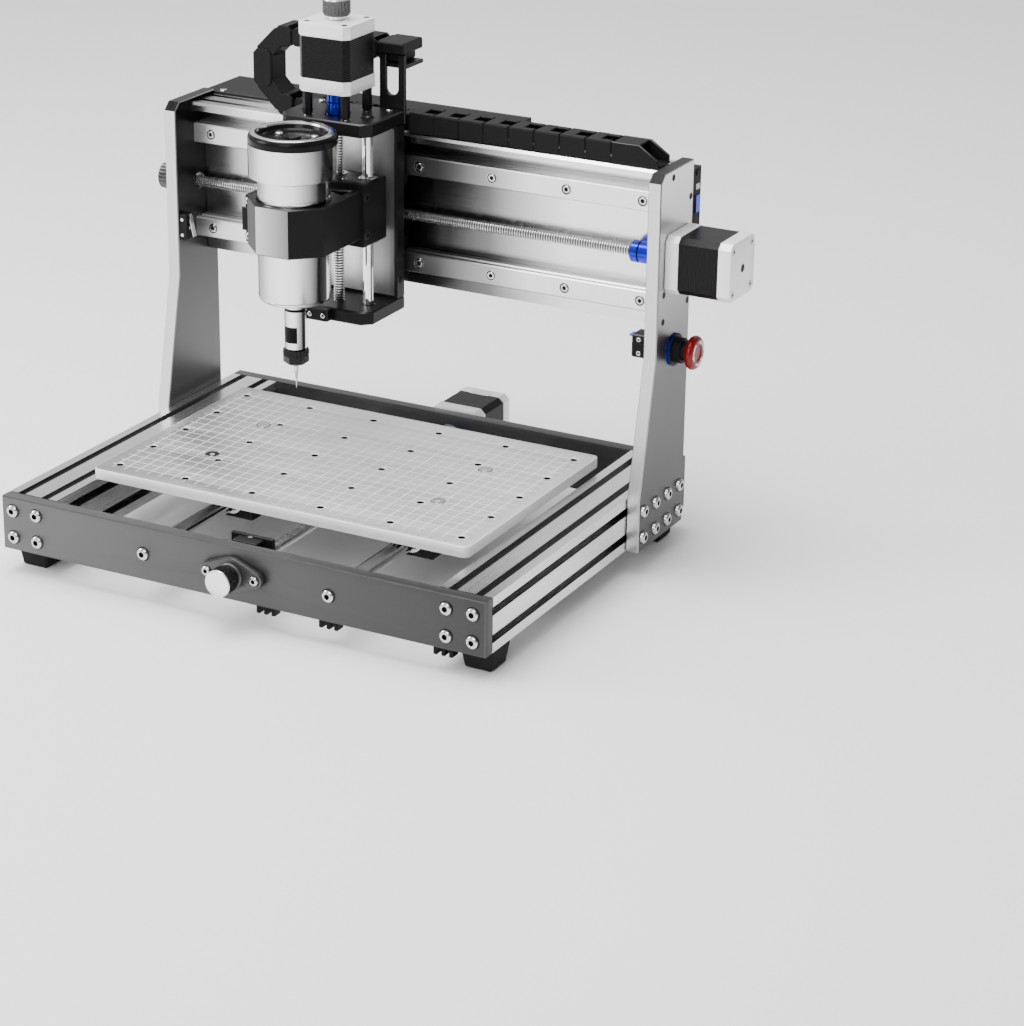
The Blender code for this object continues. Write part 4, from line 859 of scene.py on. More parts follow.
def bed_look(place):
    x, y, z = place.axes()
    top = span("bed")[1].z
    grain = place.noise(900.0, 2.0)
    cloud = place.noise(7.0, 2.0)
    streak = place.noise(1.0, 2.0, (5, 700, 700))
    across = abs((x - 3 + 155) % GRID - GRID / 2) > (GRID - LINE) / 2
    along = abs((y + 4 + 105) % GRID - GRID / 2) > (GRID - LINE) / 2
    inside = (abs(x) < 146) * (abs(y + 4) < 92) * (z > top - 0.1)
    line = across.sum("MAXIMUM", across, along) * inside
    # Painted light: brightest across the middle, darkest at the front left corner.
    shade = x.node("ValToRGB", {"stops": BED_PAINTED_LIGHT}, {0: (x + y * 0.5 + 203) / 406})
    metal = (shade * 0.8 + streak * 0.1 + cloud * 0.1).between(grey(0.1), grey(0.97))
    return {
        "Base Color": line.between(metal, grey(0.97)),
        "Roughness": line * 0.2 + streak * 0.1 + 0.34,
        "Metallic": 0.8 - line * 0.6,
        "Normal": grain.bump(0.08, 0.0002),
    }


def bed_edge_look(place):
    streak = place.noise(1.0, 2.0, (4, 900, 900))
    return {"Base Color": streak.between(grey(0.9), grey(0.97)), "Roughness": streak * 0.06 + 0.42}


# Painted shade: the walls of the tapped holes near black, with the turns of their thread.
def tapped_look(place):
    z = place.axes()[2]
    turns = abs(z % 0.8 - 0.4)
    return {
        "Base Color": turns.between(grey(0.01), grey(0.05)),
        "Roughness": turns * 0.3 + 0.3,
        "Normal": turns.bump(0.5, 0.0003),
    }


BED = paint("etched_bed", {}, bed_look)
BED_EDGE = paint("milled_bed_edge", {"Metallic": 0.4}, bed_edge_look)
SHADED_TAPPED_HOLE = paint("tapped_hole_painted_shade", {"Metallic": 0.9}, tapped_look)
low, high = span("bed")
centre_y = (low.y + high.y) / 2
corner = 5.0
ring = arc(high.x - corner, high.y - corner, corner, 0, 90, 6)
ring += arc(low.x + corner, high.y - corner, corner, 90, 180, 6)
ring += arc(low.x + corner, low.y + corner, corner, 180, 270, 6)
ring += arc(high.x - corner, low.y + corner, corner, 270, 360, 6)
holes = []
for column in range(6):
    for row in range(5):
        holes.append(((column - 2.5) * BED_PITCH[0], centre_y + (row - 2) * BED_PITCH[1]))
bed = Piece("bed_plate", BED, BED_EDGE, SHADED_TAPPED_HOLE)
bed.plate("Z", [ring] + [hole(x, y, 2.7, 16) for x, y in holes], low.z, high.z, 0, 0.6, 1, 1)
for face in bed.shape.faces:
    middle = face.calc_center_median()
    face.normal_update()
    inner = abs(middle.x) < high.x - 3 and abs(middle.y - centre_y) < (high.y - low.y) / 2 - 3
    # Painted shade on the inner walls of the holes.
    if abs(face.normal.z) < 0.3:
        face.material_index = 2 if inner else 1
bed.done("bed", "silver_anodised", "bed")
flush = Piece("bed_flush_screws", SCREW, BLACK_AND_SHADE)
for x in (-93.8, 93.8):
    for y in (-39.0, 31.0):
        top = high.z + 0.25
        profile = [(0, top - 1.6), (1.9, top - 1.6, 6), (1.9, top - 0.1, 6), (2.3, top - 0.1)]
        profile += [(4.7, top), (4.8, top - 0.1), (5.4, top - 0.15), (5.4, high.z - 2), (0, high.z - 2)]
        # Painted shade in the socket and in the thin gap round the head.
        flush.turn("Z", (x, y), profile, 0, 36, ((0, 1), (1, 1), (5, 1)))
flush.done("bed", "bright_steel")


def etched_number(piece, text, x, y, z, size, finish=0):
    """A number laid flat on the bed, 0.03 mm proud."""
    curve = bpy.data.curves.new("number", "FONT")
    curve.body = text
    curve.size = size
    curve.align_x = "CENTER"
    curve.extrude = 0.02
    source = bpy.data.objects.new("number", curve)
    bpy.context.scene.collection.objects.link(source)
    graph = bpy.context.evaluated_depsgraph_get()
    mesh = bpy.data.meshes.new_from_object(source.evaluated_get(graph))
    part = bmesh.new()
    part.from_mesh(mesh)
    bmesh.ops.remove_doubles(part, verts=part.verts, dist=0.0005)
    bmesh.ops.translate(part, vec=(x, y, z + 0.01), verts=part.verts)
    bpy.data.objects.remove(source)
    bpy.data.curves.remove(curve)
    bpy.data.meshes.remove(mesh)
    piece.take(part, finish)


def etch_look(place):
    return mottle(place, 600.0, 2.0, (0.3, 0.4), (0.1, 0.5))


ETCH = paint("etched_mark", {"Metallic": 0.3}, etch_look)
numbers = Piece("bed_grid_numbers", ETCH)
for count in range(1, 29):
    etched_number(numbers, str(count), -147 + count * GRID, low.y + 3.2, high.z, 3.0)
for count in range(1, 18):
    etched_number(numbers, str(count), low.x + 4.5, low.y + 7.6 + count * GRID, high.z, 3.0)
numbers.done("bed", "silver_anodised")

# ---- Bed bearing housings and nut ----
# Black anodised housings that slide on the guide rods, with pale end seals, and the nut block on
# the lead screw between them.


def black_look(place):
    grain = place.noise(1100.0, 3.0)
    cloud = place.noise(14.0, 2.0)
    tone = grain * 0.4 + cloud * 0.6
    return {
        "Base Color": tone.between(grey(0.006), grey(0.018)),
        "Roughness": grain * 0.14 + 0.3,
        "Normal": grain.bump(0.1, 0.0002),
    }


def black_edge_look(place):
    return mottle(place, 80.0, 2.0, (0.02, 0.05), (0.15, 0.25))


BLACK = paint("black_anodised", {"Metallic": 0.3, "Specular IOR Level": 0.12}, black_look)
BLACK_EDGE = paint("black_chamfer", {"Metallic": 0.9}, black_edge_look)
for node in ("bed_block_left", "bed_block_right", "bed_nut_block"):
    low, high = span(node)
    x = (low.x + high.x) / 2
    z, radius = (BED_SCREW_Z, 4.6) if node == "bed_nut_block" else (ROD_Z, 6.8)
    block = Piece(node + "_finish", BLACK, BLACK_EDGE, SCREW, BLACK_AND_SHADE)
    outline = rectangle(low.x, low.z, high.x, high.z)
    block.plate("Y", [outline, hole(x, z, radius, 32)], low.y, high.y, 0, 0.9, 1)
    for y, way in ((low.y, -1), (high.y, 1)):
        seal = [(radius - 0.3, y - way * 0.3), (radius + 2.2, y - way * 0.3)]
        seal += [(radius + 2.2, y + way * 0.5), (radius - 0.1, y + way * 0.5)]
        block.turn("Y", (x, z), seal, 2, 32)
    block.done("bed", "black_metal", node)

# ---- Limit switches ----
# Small black snap switches with their fixing screws: one on the front plate under the bed, one on
# the left upright with a steel lever, and one under the lift frame.


def moulded_look(place):
    return mottle(place, 1000.0, 3.0, (0.004, 0.012), (0.16, 0.38), (0.15, 0.0002))


MOULDED = paint("moulded_black", DULL, moulded_look)
low, high = span("bed_limit_switch")
switch = Piece("bed_switch_detail", MOULDED, BLACK_EDGE, SCREW, BLACK_AND_SHADE)
switch.block((low.x, high.y - 3, low.z), (high.x, high.y, high.z), 0, 0.4, 1)
switch.block((low.x, low.y, low.z), (high.x, high.y - 3, low.z + 2.5), 0, 0.4, 1)
switch.block((-10, low.y + 3, low.z + 2.6), (10, high.y - 3.1, high.z - 1), 0, 0.5, 1)
switch.block((-1.5, high.y - 6, high.z - 1.2), (1.5, high.y - 4, high.z - 0.1), 2, 0.2)
for x in (-13, 13):
    switch.screw("Z", (x, low.y + 7), low.z + 2.5, 1, 2.4, 1.6, 2, 3)
switch.done("base", "black_plastic", "bed_limit_switch")

low, high = span("side_limit_switch")
switch = Piece("side_switch_detail", MOULDED, BLACK_EDGE, SCREW, BLACK_AND_SHADE)
switch.block(low, high, 0, 0.5, 1)
y = (low.y + high.y) / 2
for z in (low.z + 4, high.z - 4):
    profile = [(0, low.y - 0.3), (1.3, low.y - 0.3), (1.5, low.y + 0.2), (0, low.y + 0.2)]
    switch.turn("Y", (low.x + 2.5, z), profile, 2, 16)
switch.block((high.x - 0.2, y - 1, low.z + 8), (high.x + 0.15, y + 1, low.z + 10), 2)
switch.done("base", "black_plastic", "side_limit_switch")
finish_node("side_limit_lever", SCREW)

low, high = span("lift_limit_switch")
switch = Piece("lift_switch_detail", MOULDED, BLACK_EDGE, SCREW, BLACK_AND_SHADE)
switch.block(low, high, 0, 0.5, 1)
for x in (low.x + 3.5, high.x - 3.5):
    switch.screw("Y", (x, (low.z + high.z) / 2), low.y, -1, 1.9, 0.9, 2, 3)
switch.done("carriage", "black_plastic", "lift_limit_switch")

# ---- Uprights ----
# Two silver anodised side plates, brushed along their height, with pale sawn edges and a dark cut top. Light
# and shade are painted into their colour: the right one darker towards the bottom, the left one painted near
# black as shade, lighter towards the bottom. Four pairs of bolts hold each one to its side profile. The small
# holes are painted near black, as the shade inside them.

UPRIGHT_TOP = 290.0
UPRIGHT_PAINTED_LIGHT = [
    (0.0, grey(0.01)),
    (0.25, grey(0.02)),
    (0.5, grey(0.08)),
    (0.75, grey(0.4)),
    (1.0, grey(0.9)),
]


# Painted light and shade: the right upright darker towards the bottom, brightest at the top.
def brushed_look(place):
    z = place.axes()[2]
    streak = place.noise(1.0, 3.0, (700, 700, 3))
    cloud = place.noise(5.0, 1.0)
    shade = z.node("ValToRGB", {"stops": UPRIGHT_PAINTED_LIGHT}, {0: z / UPRIGHT_TOP})
    tone = shade * 0.92 + streak * 0.04 + cloud * 0.04
    return {
        "Base Color": tone.between(grey(0.01), grey(0.97)),
        "Roughness": streak * 0.1 + 0.3,
        "Normal": streak.bump(0.06, 0.0001),
    }


# Painted shade: the left upright near black, lighter towards the bottom.
def shaded_look(place):
    z = place.axes()[2]
    streak = place.noise(1.0, 3.0, (700, 700, 3))
    tone = streak * 0.05 + (1 - z / UPRIGHT_TOP) * 0.95
    return {
        "Base Color": tone.between(grey(0.0), grey(0.2)),
        "Roughness": streak * 0.1 + 0.3,
        "Normal": streak.bump(0.06, 0.0001),
    }


def top_edge_look(place):
    streak = place.noise(1.0, 3.0, (900, 5, 5))
    return {"Base Color": streak.between(grey(0.006), grey(0.016)), "Roughness": streak * 0.16 + 0.3}


def sawn_edge_look(place):
    streak = place.noise(1.0, 3.0, (900, 5, 5))
    return {"Base Color": streak.between(grey(0.6), grey(0.8)), "Roughness": streak * 0.12 + 0.28}


BRUSHED = paint("brushed_upright", {"Metallic": 1.0}, brushed_look)
SHADED = paint("shaded_upright", {"Metallic": 1.0}, shaded_look)
SAWN_EDGE = paint("sawn_edge", {"Metallic": 0.95}, sawn_edge_look)
TOP_EDGE = paint("dark_top_edge", {"Metallic": 0.95}, top_edge_look)
STOP = (106.0, 157.5)
SMALL_HOLES = [(95.7, 286), (125.9, 265.5), (85.8, 203.2), (126.0, 188.8), (85.5, 183.3)]
for side, way, openings in (
    ("left", -1, [(*GANTRY_AXIS, 6.0)]),
    ("right", 1, [(*GANTRY_AXIS, 11.5), (*STOP, 9.5)]),
):
    low, high = span("upright_" + side)
    ring = [(low.y, low.z), (high.y, low.z), (high.y, high.z), (82, high.z), (76, high.z - 6)]
    ring += [(76, 158), (low.y, 57.7)]
    rings = [ring] + [hole(y, z, radius, 36) for y, z, radius in openings]
    broad = SHADED if way < 0 else BRUSHED
    plate = Piece("upright_" + side + "_plate", broad, SAWN_EDGE, CHAMFER, SCREW, BLACK_AND_SHADE, TOP_EDGE)
    plate.plate("X", rings, low.x, high.x, 0, 0.7, 2)
    for face in plate.shape.faces:
        face.normal_update()
        if abs(face.normal.x) < 0.2:
            face.material_index = 5 if face.normal.z > 0.5 else 1
    outer = high.x if way > 0 else low.x
    for column in range(4):
        for row in (28.0, 48.0):
            plate.screw("X", (62.8 + PROFILE_PITCH * column, row), outer, way, *BOLT_HEAD, 3, 4)
    # Small holes painted near black, as the shade inside them.
    for y, z in SMALL_HOLES:
        profile = [(0, outer + way * 0.04), (1.1, outer + way * 0.04, 6), (1.1, outer + way * 0.1, 6)]
        profile += [(2.4, outer + way * 0.12), (2.7, outer - way * 0.2), (0, outer - way * 0.2)]
        plate.turn("X", (y, z), profile, 4, 24)
    plate.done("base", "silver_anodised", "upright_" + side)

# ---- Gantry beam ----
# A hollow aluminium extrusion between the uprights, clear anodised, with a lip and two grooves on its top
# edge. Bands of painted light and reflection run along it, bright near each end and dark across the middle.

BEAM_PAINTED_LIGHT = [
    (0.0, grey(0.15)),
    (0.07, grey(0.4)),
    (0.15, grey(0.95)),
    (0.3, grey(0.5)),
    (0.45, grey(0.02)),
    (0.54, grey(0.03)),
    (0.63, grey(0.14)),
    (0.72, grey(0.6)),
    (0.8, grey(1.0)),
    (1.0, grey(0.97)),
]


# Painted light: bands along the beam, bright near each end and dark across the middle.
def beam_look(place):
    x = place.axes()[0]
    streak = place.noise(1.0, 3.0, (3, 900, 900))
    cloud = place.noise(4.0, 1.0)
    shade = x.node("ValToRGB", {"stops": BEAM_PAINTED_LIGHT}, {0: x / BASE_WIDTH + 0.5})
    tone = shade * 0.9 + streak * 0.06 + cloud * 0.04
    return {
        "Base Color": tone.between(grey(0.0), grey(0.97)),
        "Roughness": streak * 0.1 + 0.2,
        "Normal": streak.bump(0.08, 0.0001),
    }


BEAM = paint("drawn_beam", {"Metallic": 1.0}, beam_look)
finish_node("gantry_beam", BEAM)

# ---- Carriage rails ----
# Hardened steel linear rails with a ball groove on each side, screwed to the beam every 60 mm through
# countersunk holes. Painted light makes them bright near each end and dark across the middle, and painted
# shade fills the screw sockets and the gaps round their heads.

RAIL_PAINTED_LIGHT = [
    (0.0, grey(0.6)),
    (0.15, grey(1.0)),
    (0.45, grey(0.1)),
    (0.54, grey(0.12)),
    (0.65, grey(0.4)),
    (0.74, grey(1.0)),
]


# Painted light: bright near each end of the rail, dark across the middle.
def rail_look(place):
    x = place.axes()[0]
    grind = place.noise(1.0, 2.0, (700, 4, 4))
    shade = x.node("ValToRGB", {"stops": RAIL_PAINTED_LIGHT}, {0: x / BASE_WIDTH + 0.5})
    tone = shade * (0.9 + grind * 0.1)
    return {"Base Color": tone.between(grey(0.0), grey(0.98)), "Roughness": grind * 0.08 + 0.26}


RAIL = paint("ground_rail", {"Metallic": 0.85}, rail_look)
RAIL_PITCH = 60.0
for name in ("rail_upper", "rail_lower"):
    finish_node(name, RAIL)
    low, high = span(name)
    z = (low.z + high.z) / 2
    screws = Piece(name + "_screws", SCREW, BLACK_AND_SHADE, CHAMFER)
    for number in range(7):
        x = (number - 3) * RAIL_PITCH
        # Painted shade in each socket and in the gap round each head.
        rise = [(0, 0.05), (1.5, 0.05, 6), (1.5, 0.3, 6), (2.6, 0.32), (2.9, 0.06), (3.3, 0.05)]
        rise += [(3.6, 0.16), (4.0, 0.16), (4.3, -0.3), (0, -0.3)]
        profile = [(radius, low.y - proud, *flats) for radius, proud, *flats in rise]
        screws.turn("Y", (x, z), profile, 0, 30, ((0, 1), (1, 1), (4, 1), (5, 1)))
    screws.done("base", "bright_steel")

# ---- Controller box ----
# A folded black sheet-metal box behind the beam, with its cooling slots, lid screws, and a shallow
# box beside it that holds two rows of terminals.


def powder_look(place):
    return mottle(place, 1500.0, 2.0, (0.008, 0.018), (0.2, 0.42), (0.35, 0.0002))


POWDER = paint("black_powder_coat", DULL, powder_look)
low, high = span("controller_box")
SHALLOW_REAR = 143.0
SHALLOW_TOP = 284.0
WIDE_RIGHT = 50.0
box = Piece("controller_case", POWDER, BLACK_EDGE, SCREW, BLACK_AND_SHADE, BLUE, PLUG)
wall = 2.0
box.block((low.x, low.y, low.z), (WIDE_RIGHT, low.y + wall, high.z), 0, 0.5, 1)
box.block((low.x, low.y + wall, high.z - wall), (WIDE_RIGHT, high.y - wall, high.z), 0, 0.5, 1)
box.block((low.x, low.y + wall, low.z), (low.x + wall, high.y - wall, high.z - wall), 0, 0.5, 1)
right_wall = (WIDE_RIGHT - wall, low.y + wall, low.z)
box.block(right_wall, (WIDE_RIGHT, high.y - wall, high.z - wall), 0, 0.5, 1)
rings = [rectangle(low.x, low.z, WIDE_RIGHT, high.z)]
for column in range(14):
    x = -160 + column * 12
    rings.append(arc(x, 268, 1.6, 0, 180, 6) + arc(x, 226, 1.6, 180, 360, 6))
box.plate("Y", rings, high.y - wall, high.y, 0, 0.4, 1)
left = WIDE_RIGHT + 0.1
inner_rear = SHALLOW_REAR - wall
for start, end in (
    ((left, low.y, low.z), (high.x, low.y + wall, SHALLOW_TOP)),
    ((left, inner_rear, low.z), (high.x, SHALLOW_REAR, SHALLOW_TOP)),
    ((left, low.y + wall, SHALLOW_TOP - wall), (high.x, inner_rear, SHALLOW_TOP)),
    ((high.x - wall, low.y + wall, low.z), (high.x, inner_rear, SHALLOW_TOP - wall)),
):
    box.block(start, end, 0, 0.4, 1)
box.block((high.x - 1, 133.5, 251), (high.x + 0.9, 140.5, 264), 4, 0.4)
box.block((high.x - 1, 134.5, 268), (high.x + 0.7, 139.5, 272), 5, 0.3)
box.block((high.x - 1, 134.5, 278), (high.x + 0.7, 139.5, 282), 3, 0.3)
for x in (low.x + 7, -80, WIDE_RIGHT - 7):
    for z in (low.z + 7, high.z - 7):
        box.screw("Y", (x, z), high.y, 1, 2.8, 1.5, 2, 3)
for x in (WIDE_RIGHT + 8, high.x - 8):
    for z in (low.z + 7, SHALLOW_TOP - 7):
        box.screw("Y", (x, z), SHALLOW_REAR, 1, 2.4, 1.2, 2, 3)
for row in range(2):
    for column in range(6):
        x = WIDE_RIGHT + 24 + column * 18
        z = 214 + row * 34
        far = SHALLOW_REAR + 4.5
        box.block((x, SHALLOW_REAR - 0.5, z), (x + 12, far, z + 11), 5 if row else 3, 0.5)
        for pin in (3, 9):
            slot = [(0, far + 0.2), (1.5, far + 0.2), (1.5, far - 0.5), (0, far - 0.5)]
            box.turn("Y", (x + pin, z + 5.5), slot, 2, 14)
for x in (-190, 0):
    box.screw("Z", (x, 134.5), high.z, 1, 2.8, 1.3, 2, 3)
box.done("base", "black_metal", "controller_box")

# ---- Emergency stop ----
# A twist-release stop button through the right upright: contact block inside, blue collar and
# black neck outside, and a glossy red head with release arrows.


def red_look(place):
    cloud = place.noise(60.0, 2.0)
    red = cloud.between((0.12, 0.0, 0.001, 1), (0.24, 0.001, 0.002, 1))
    return {"Base Color": red, "Roughness": cloud * 0.1 + 0.2}


def arrow_look(place):
    return mottle(place, 200.0, 2.0, (0.8, 0.9), (0.1, 0.35))


RED = paint("red_button", {"Specular IOR Level": 0.3}, red_look)
ARROW = paint("white_arrow", {}, arrow_look)
low, high = span("stop_body")
OUTER = 205.3
INNER = 195.3
stop = Piece("stop_body_detail", MOULDED, BLUE, SCREW, BLACK_EDGE)
profile = [
    (7.3, OUTER - 5),
    (7.3, high.x),
    (8.8, high.x),
    (9.3, high.x - 0.5),
    (9.3, OUTER + 2.1),
    (11.4, OUTER + 2.1),
    (12.0, OUTER + 1.6),
    (12.0, OUTER + 0.3),
    (9.2, OUTER + 0.3),
    (9.2, INNER - 0.3),
    (10.0, INNER - 0.3),
    (10.0, INNER - 3.2),
    (7.3, INNER - 3.4),
]
stop.turn("X", STOP, profile, 0, 48, ((6, 1), (9, 3), (10, 3)))
y, z = STOP
stop.block((low.x, y - 7.2, z - 8.6), (INNER - 3.5, y + 7.2, z + 8.6), 0, 0.8, 3)
stop.block((low.x + 1, y - 8.9, z - 3), (INNER - 8, y - 7, z + 3), 0, 0.4)
stop.block((low.x - 3, y - 5, z + 6), (INNER - 8, y + 2, z + 7.6), 1, 0.4)
for row in (z - 5, z + 5):
    stop.screw("Y", (low.x + 6, row), y - 7.2, -1, 1.9, 1.0, 2, 3)
stop.done("base", "black_plastic", "stop_body")
low, high = span("stop_plunger")
plunger = Piece("stop_plunger_detail", MOULDED)
profile = [(0, low.x), (6.4, low.x), (7.0, low.x + 0.7), (7.0, high.x - 2), (6.4, high.x), (0, high.x)]
plunger.turn("X", STOP, profile, 0, 40)
plunger.done("stop_plunger", "black_plastic", "stop_plunger")
low, high = span("stop_head")
head = Piece("stop_head_detail", RED, ARROW)
profile = [
    (0, high.x - 1.0),
    (5.6, high.x - 0.9),
    (6.0, high.x - 0.3),
    (9.8, high.x - 0.3),
    (10.6, high.x - 0.5),
    (11.9, high.x - 1.6),
    (12.48, high.x - 3.2),
    (12.3, high.x - 4.6),
    (11.4, low.x + 0.3),
    (10.6, low.x),
    (0, low.x),
]
head.turn("X", STOP, profile, 0, 64)
for turn in (0, 120, 240):
    blade = arc(*STOP, 8.9, turn, turn + 66, 10) + arc(*STOP, 7.6, turn + 66, turn, 10)
    tip = []
    for radius, angle in ((9.9, turn + 64), (6.6, turn + 64), (8.3, turn + 92)):
        tip += arc(*STOP, radius, angle, angle, 1)[:1]
    for ring in (blade, tip):
        head.plate("X", [ring], high.x - 0.5, high.x, 1)
head.done("stop_head", "red_plastic", "stop_head")

# ---- Carriage blocks and nut ----
# Steel ball carriages on the two rails, with dark end caps, and the lead-screw nut in a black block
# between them.

for name in ("rail_block_upper", "rail_block_lower"):
    low, high = span(name)
    z = (low.z + high.z) / 2
    hold = 7.8
    ring = [(low.y, low.z), (low.y, high.z), (high.y, high.z), (high.y, z + hold), (99.7, z + hold)]
    ring += [(99.7, z - hold), (high.y, z - hold), (high.y, low.z)]
    block = Piece(name + "_detail", ROLLED, MOULDED, CHAMFER)
    block.plate("X", [ring], low.x + 5, high.x - 5, 0, 0.6, 2)
    block.plate("X", [ring], low.x, low.x + 4.9, 1, 0.5, 1)
    block.plate("X", [ring], high.x - 4.9, high.x, 1, 0.5, 1)
    block.done("carriage", "bright_steel", name)


def brass_look(place):
    grain = place.noise(300.0, 3.0)
    brass = grain.between((0.45, 0.28, 0.09, 1), (0.68, 0.46, 0.17, 1))
    return {"Base Color": brass, "Roughness": grain * 0.2 + 0.2}


BRASS = paint("turned_brass", {"Metallic": 1.0}, brass_look)
low, high = span("carriage_nut_block")
nut = Piece("carriage_nut_detail", BLACK, BLACK_EDGE, BRASS)
ring = rectangle(low.y, low.z, high.y, high.z)
nut.plate("X", [ring, hole(*GANTRY_AXIS, 6.0, 28)], low.x, high.x, 0, 0.7, 1)
brass = rectangle(4.4, low.x - 1.5, 5.9, high.x + 1.5)
nut.turn("X", GANTRY_AXIS, brass, 2, 28)
nut.done("carriage", "brass", "carriage_nut_block")

# ---- Lift frame ----
# A C-shaped frame milled from black anodised aluminium: a back plate with a shelf above and below, bright
# along its cut edges, holding the two lift shafts. A sheen is painted on the inside of the back plate, bright
# at the left and fading to black at the right.

low, high = span("lift_frame")
SHELF = 10.0
CORNER = 7.0
SHAFT_HALF = 24.8


# Painted sheen: bright at the left of the back plate, fading to black at the right.
def polished_black_look(place):
    x = place.axes()[0]
    streak = place.noise(1.0, 2.0, (300, 300, 4))
    painted_fade = (CARRIAGE_X + 37 - x) / 34
    tone = painted_fade * 0.9 + streak * 0.1
    return {"Base Color": tone.between(grey(0.03), grey(0.9)), "Roughness": streak * 0.06 + 0.3}


PAINTED_SHEEN = paint("back_painted_sheen", {"Metallic": 0.7}, polished_black_look)
footprint = [
    (low.x + CORNER, low.y),
    (high.x - CORNER, low.y),
    (high.x, low.y + CORNER),
    (high.x, high.y),
    (low.x, high.y),
    (low.x, low.y + CORNER),
]
holes = [hole(CARRIAGE_X + way * SHAFT_HALF, LIFT_Y, 4.2, 24) for way in (-1, 1)]
lift = Piece("lift_frame_milled", BLACK, BLACK_EDGE, PAINTED_SHEEN, SCREW, BLACK_AND_SHADE)
lift.plate("Z", [footprint, hole(*LIFT_AXIS, 9.4, 40)] + holes, high.z - SHELF, high.z, 0, 0.9, 1)
lift.plate("Z", [footprint, hole(*LIFT_AXIS, 4.4, 28)] + holes, low.z, low.z + SHELF, 0, 0.9, 1)
rear = rectangle(low.x, low.z + SHELF, high.x, high.z - SHELF)
lift.plate("Y", [rear], high.y - SHELF, high.y, 0, 0.0)
# The inside of the back plate, with its painted sheen.
lift.block(
    (low.x + 2.5, high.y - SHELF - 0.15, low.z + SHELF + 2),
    (high.x - 2.5, high.y - SHELF + 0.2, high.z - SHELF - 2),
    2,
)
for way in (-1, 1):
    for y in (LIFT_Y - MOTOR_BOLT, LIFT_Y + MOTOR_BOLT):
        lift.screw("Z", (CARRIAGE_X + way * MOTOR_BOLT, y), low.z, -1, 2.6, 0.4, 3, 4)
    for z in (181, 283):
        lift.screw("X", (87.0, z), high.x if way > 0 else low.x, way, 2.3, 0.35, 4, 4)
for x in (low.x + 9, high.x - 9):
    lift.screw("Z", (x, 86.5), high.z, 1, 2.6, 1.4, 3, 4)
lift.done("carriage", "black_metal", "lift_frame")

# ---- Lift shafts and stand-offs ----
# Two ground 8 mm shafts clamped in the shelves, and four black hexagonal pillars under the motor.

for side in ("left", "right"):
    finish_node("lift_shaft_" + side, GROUND)
    for end in ("front", "rear"):
        node = f"standoff_{end}_{side}"
        low, high = span(node)
        centre = ((low.x + high.x) / 2, (low.y + high.y) / 2)
        pillar = Piece(node + "_pillar", BLACK, SCREW)
        profile = [
            (0, high.z),
            (3.0, high.z),
            (3.05, high.z - 0.5, 6),
            (3.05, low.z + 1.2, 6),
            (3.0, low.z + 0.9),
            (3.5, low.z + 0.8),
            (3.5, low.z),
            (0, low.z),
        ]
        pillar.turn("Z", centre, profile, 0, 24, ((4, 1), (5, 1), (6, 1)))
        pillar.done("carriage", "black_metal", node)

# ---- Lift slide block ----
# The black block that rides the lift shafts, with bright bushes in its bores and two bolts in each
# of its sides.

low, high = span("slide_block")
slide = Piece("slide_block_milled", BLACK, BLACK_EDGE, SCREW, BLACK_AND_SHADE)
ring = rectangle(low.x, low.y, high.x, high.y)
bores = [hole(CARRIAGE_X + way * SHAFT_HALF, LIFT_Y, 6.6, 32) for way in (-1, 1)]
slide.plate("Z", [ring, hole(*LIFT_AXIS, 7.0, 32)] + bores, low.z, high.z, 0, 1.4, 1, 1)
for way in (-1, 1):
    bush = [(4.25, high.z + 0.3), (6.1, high.z + 0.3), (6.5, high.z), (6.5, low.z), (6.1, low.z - 0.3)]
    slide.turn("Z", (CARRIAGE_X + way * SHAFT_HALF, LIFT_Y), bush + [(4.25, low.z - 0.3)], 2, 32)
nut = [(4.45, high.z + 0.4), (6.9, high.z + 0.4), (6.9, low.z), (4.45, low.z)]
slide.turn("Z", LIFT_AXIS, nut, 2, 32)
for x in (-1, 1):
    for z in (low.z + 9, high.z - 10):
        seat = high.x if x > 0 else low.x
        slide.screw("X", (low.y + 4.5, z), seat - x * 0.2, x, 3.4, 0.8, 1, 3)
for x in (-12, 12):
    slide.screw("Z", (CARRIAGE_X + x, LIFT_Y - 11), high.z - 0.2, 1, 2.2, 0.9, 2, 3)
slide.done("lift_slide", "black_metal", "slide_block")

# ---- Spindle clamp ----
# A faceted aluminium clamp round the spindle, anodised dark, with painted light on its front facet, paler at
# the left and darker to the right. It is split on its left side and closed by two screws, with a snap switch
# beside the split.


def clamp_look(place):
    grain = place.noise(1200.0, 3.0)
    cloud = place.noise(10.0)
    return {
        "Base Color": (grain * 0.5 + cloud * 0.5).between(grey(0.006), grey(0.016)),
        "Roughness": grain * 0.14 + 0.32,
        "Normal": grain.bump(0.1, 0.0002),
    }


# Painted light on the front facet: paler at the left, darker to the right.
def facet_look(place):
    x = place.axes()[0]
    grain = place.noise(1200.0, 3.0)
    painted_fade = (x - CARRIAGE_X + 13) / 26
    return {
        "Base Color": (grain * 0.06 + (1 - painted_fade) * 0.8 + 0.1).between(grey(0.14), grey(0.6)),
        "Roughness": grain * 0.12 + 0.3,
        "Normal": grain.bump(0.1, 0.0002),
    }


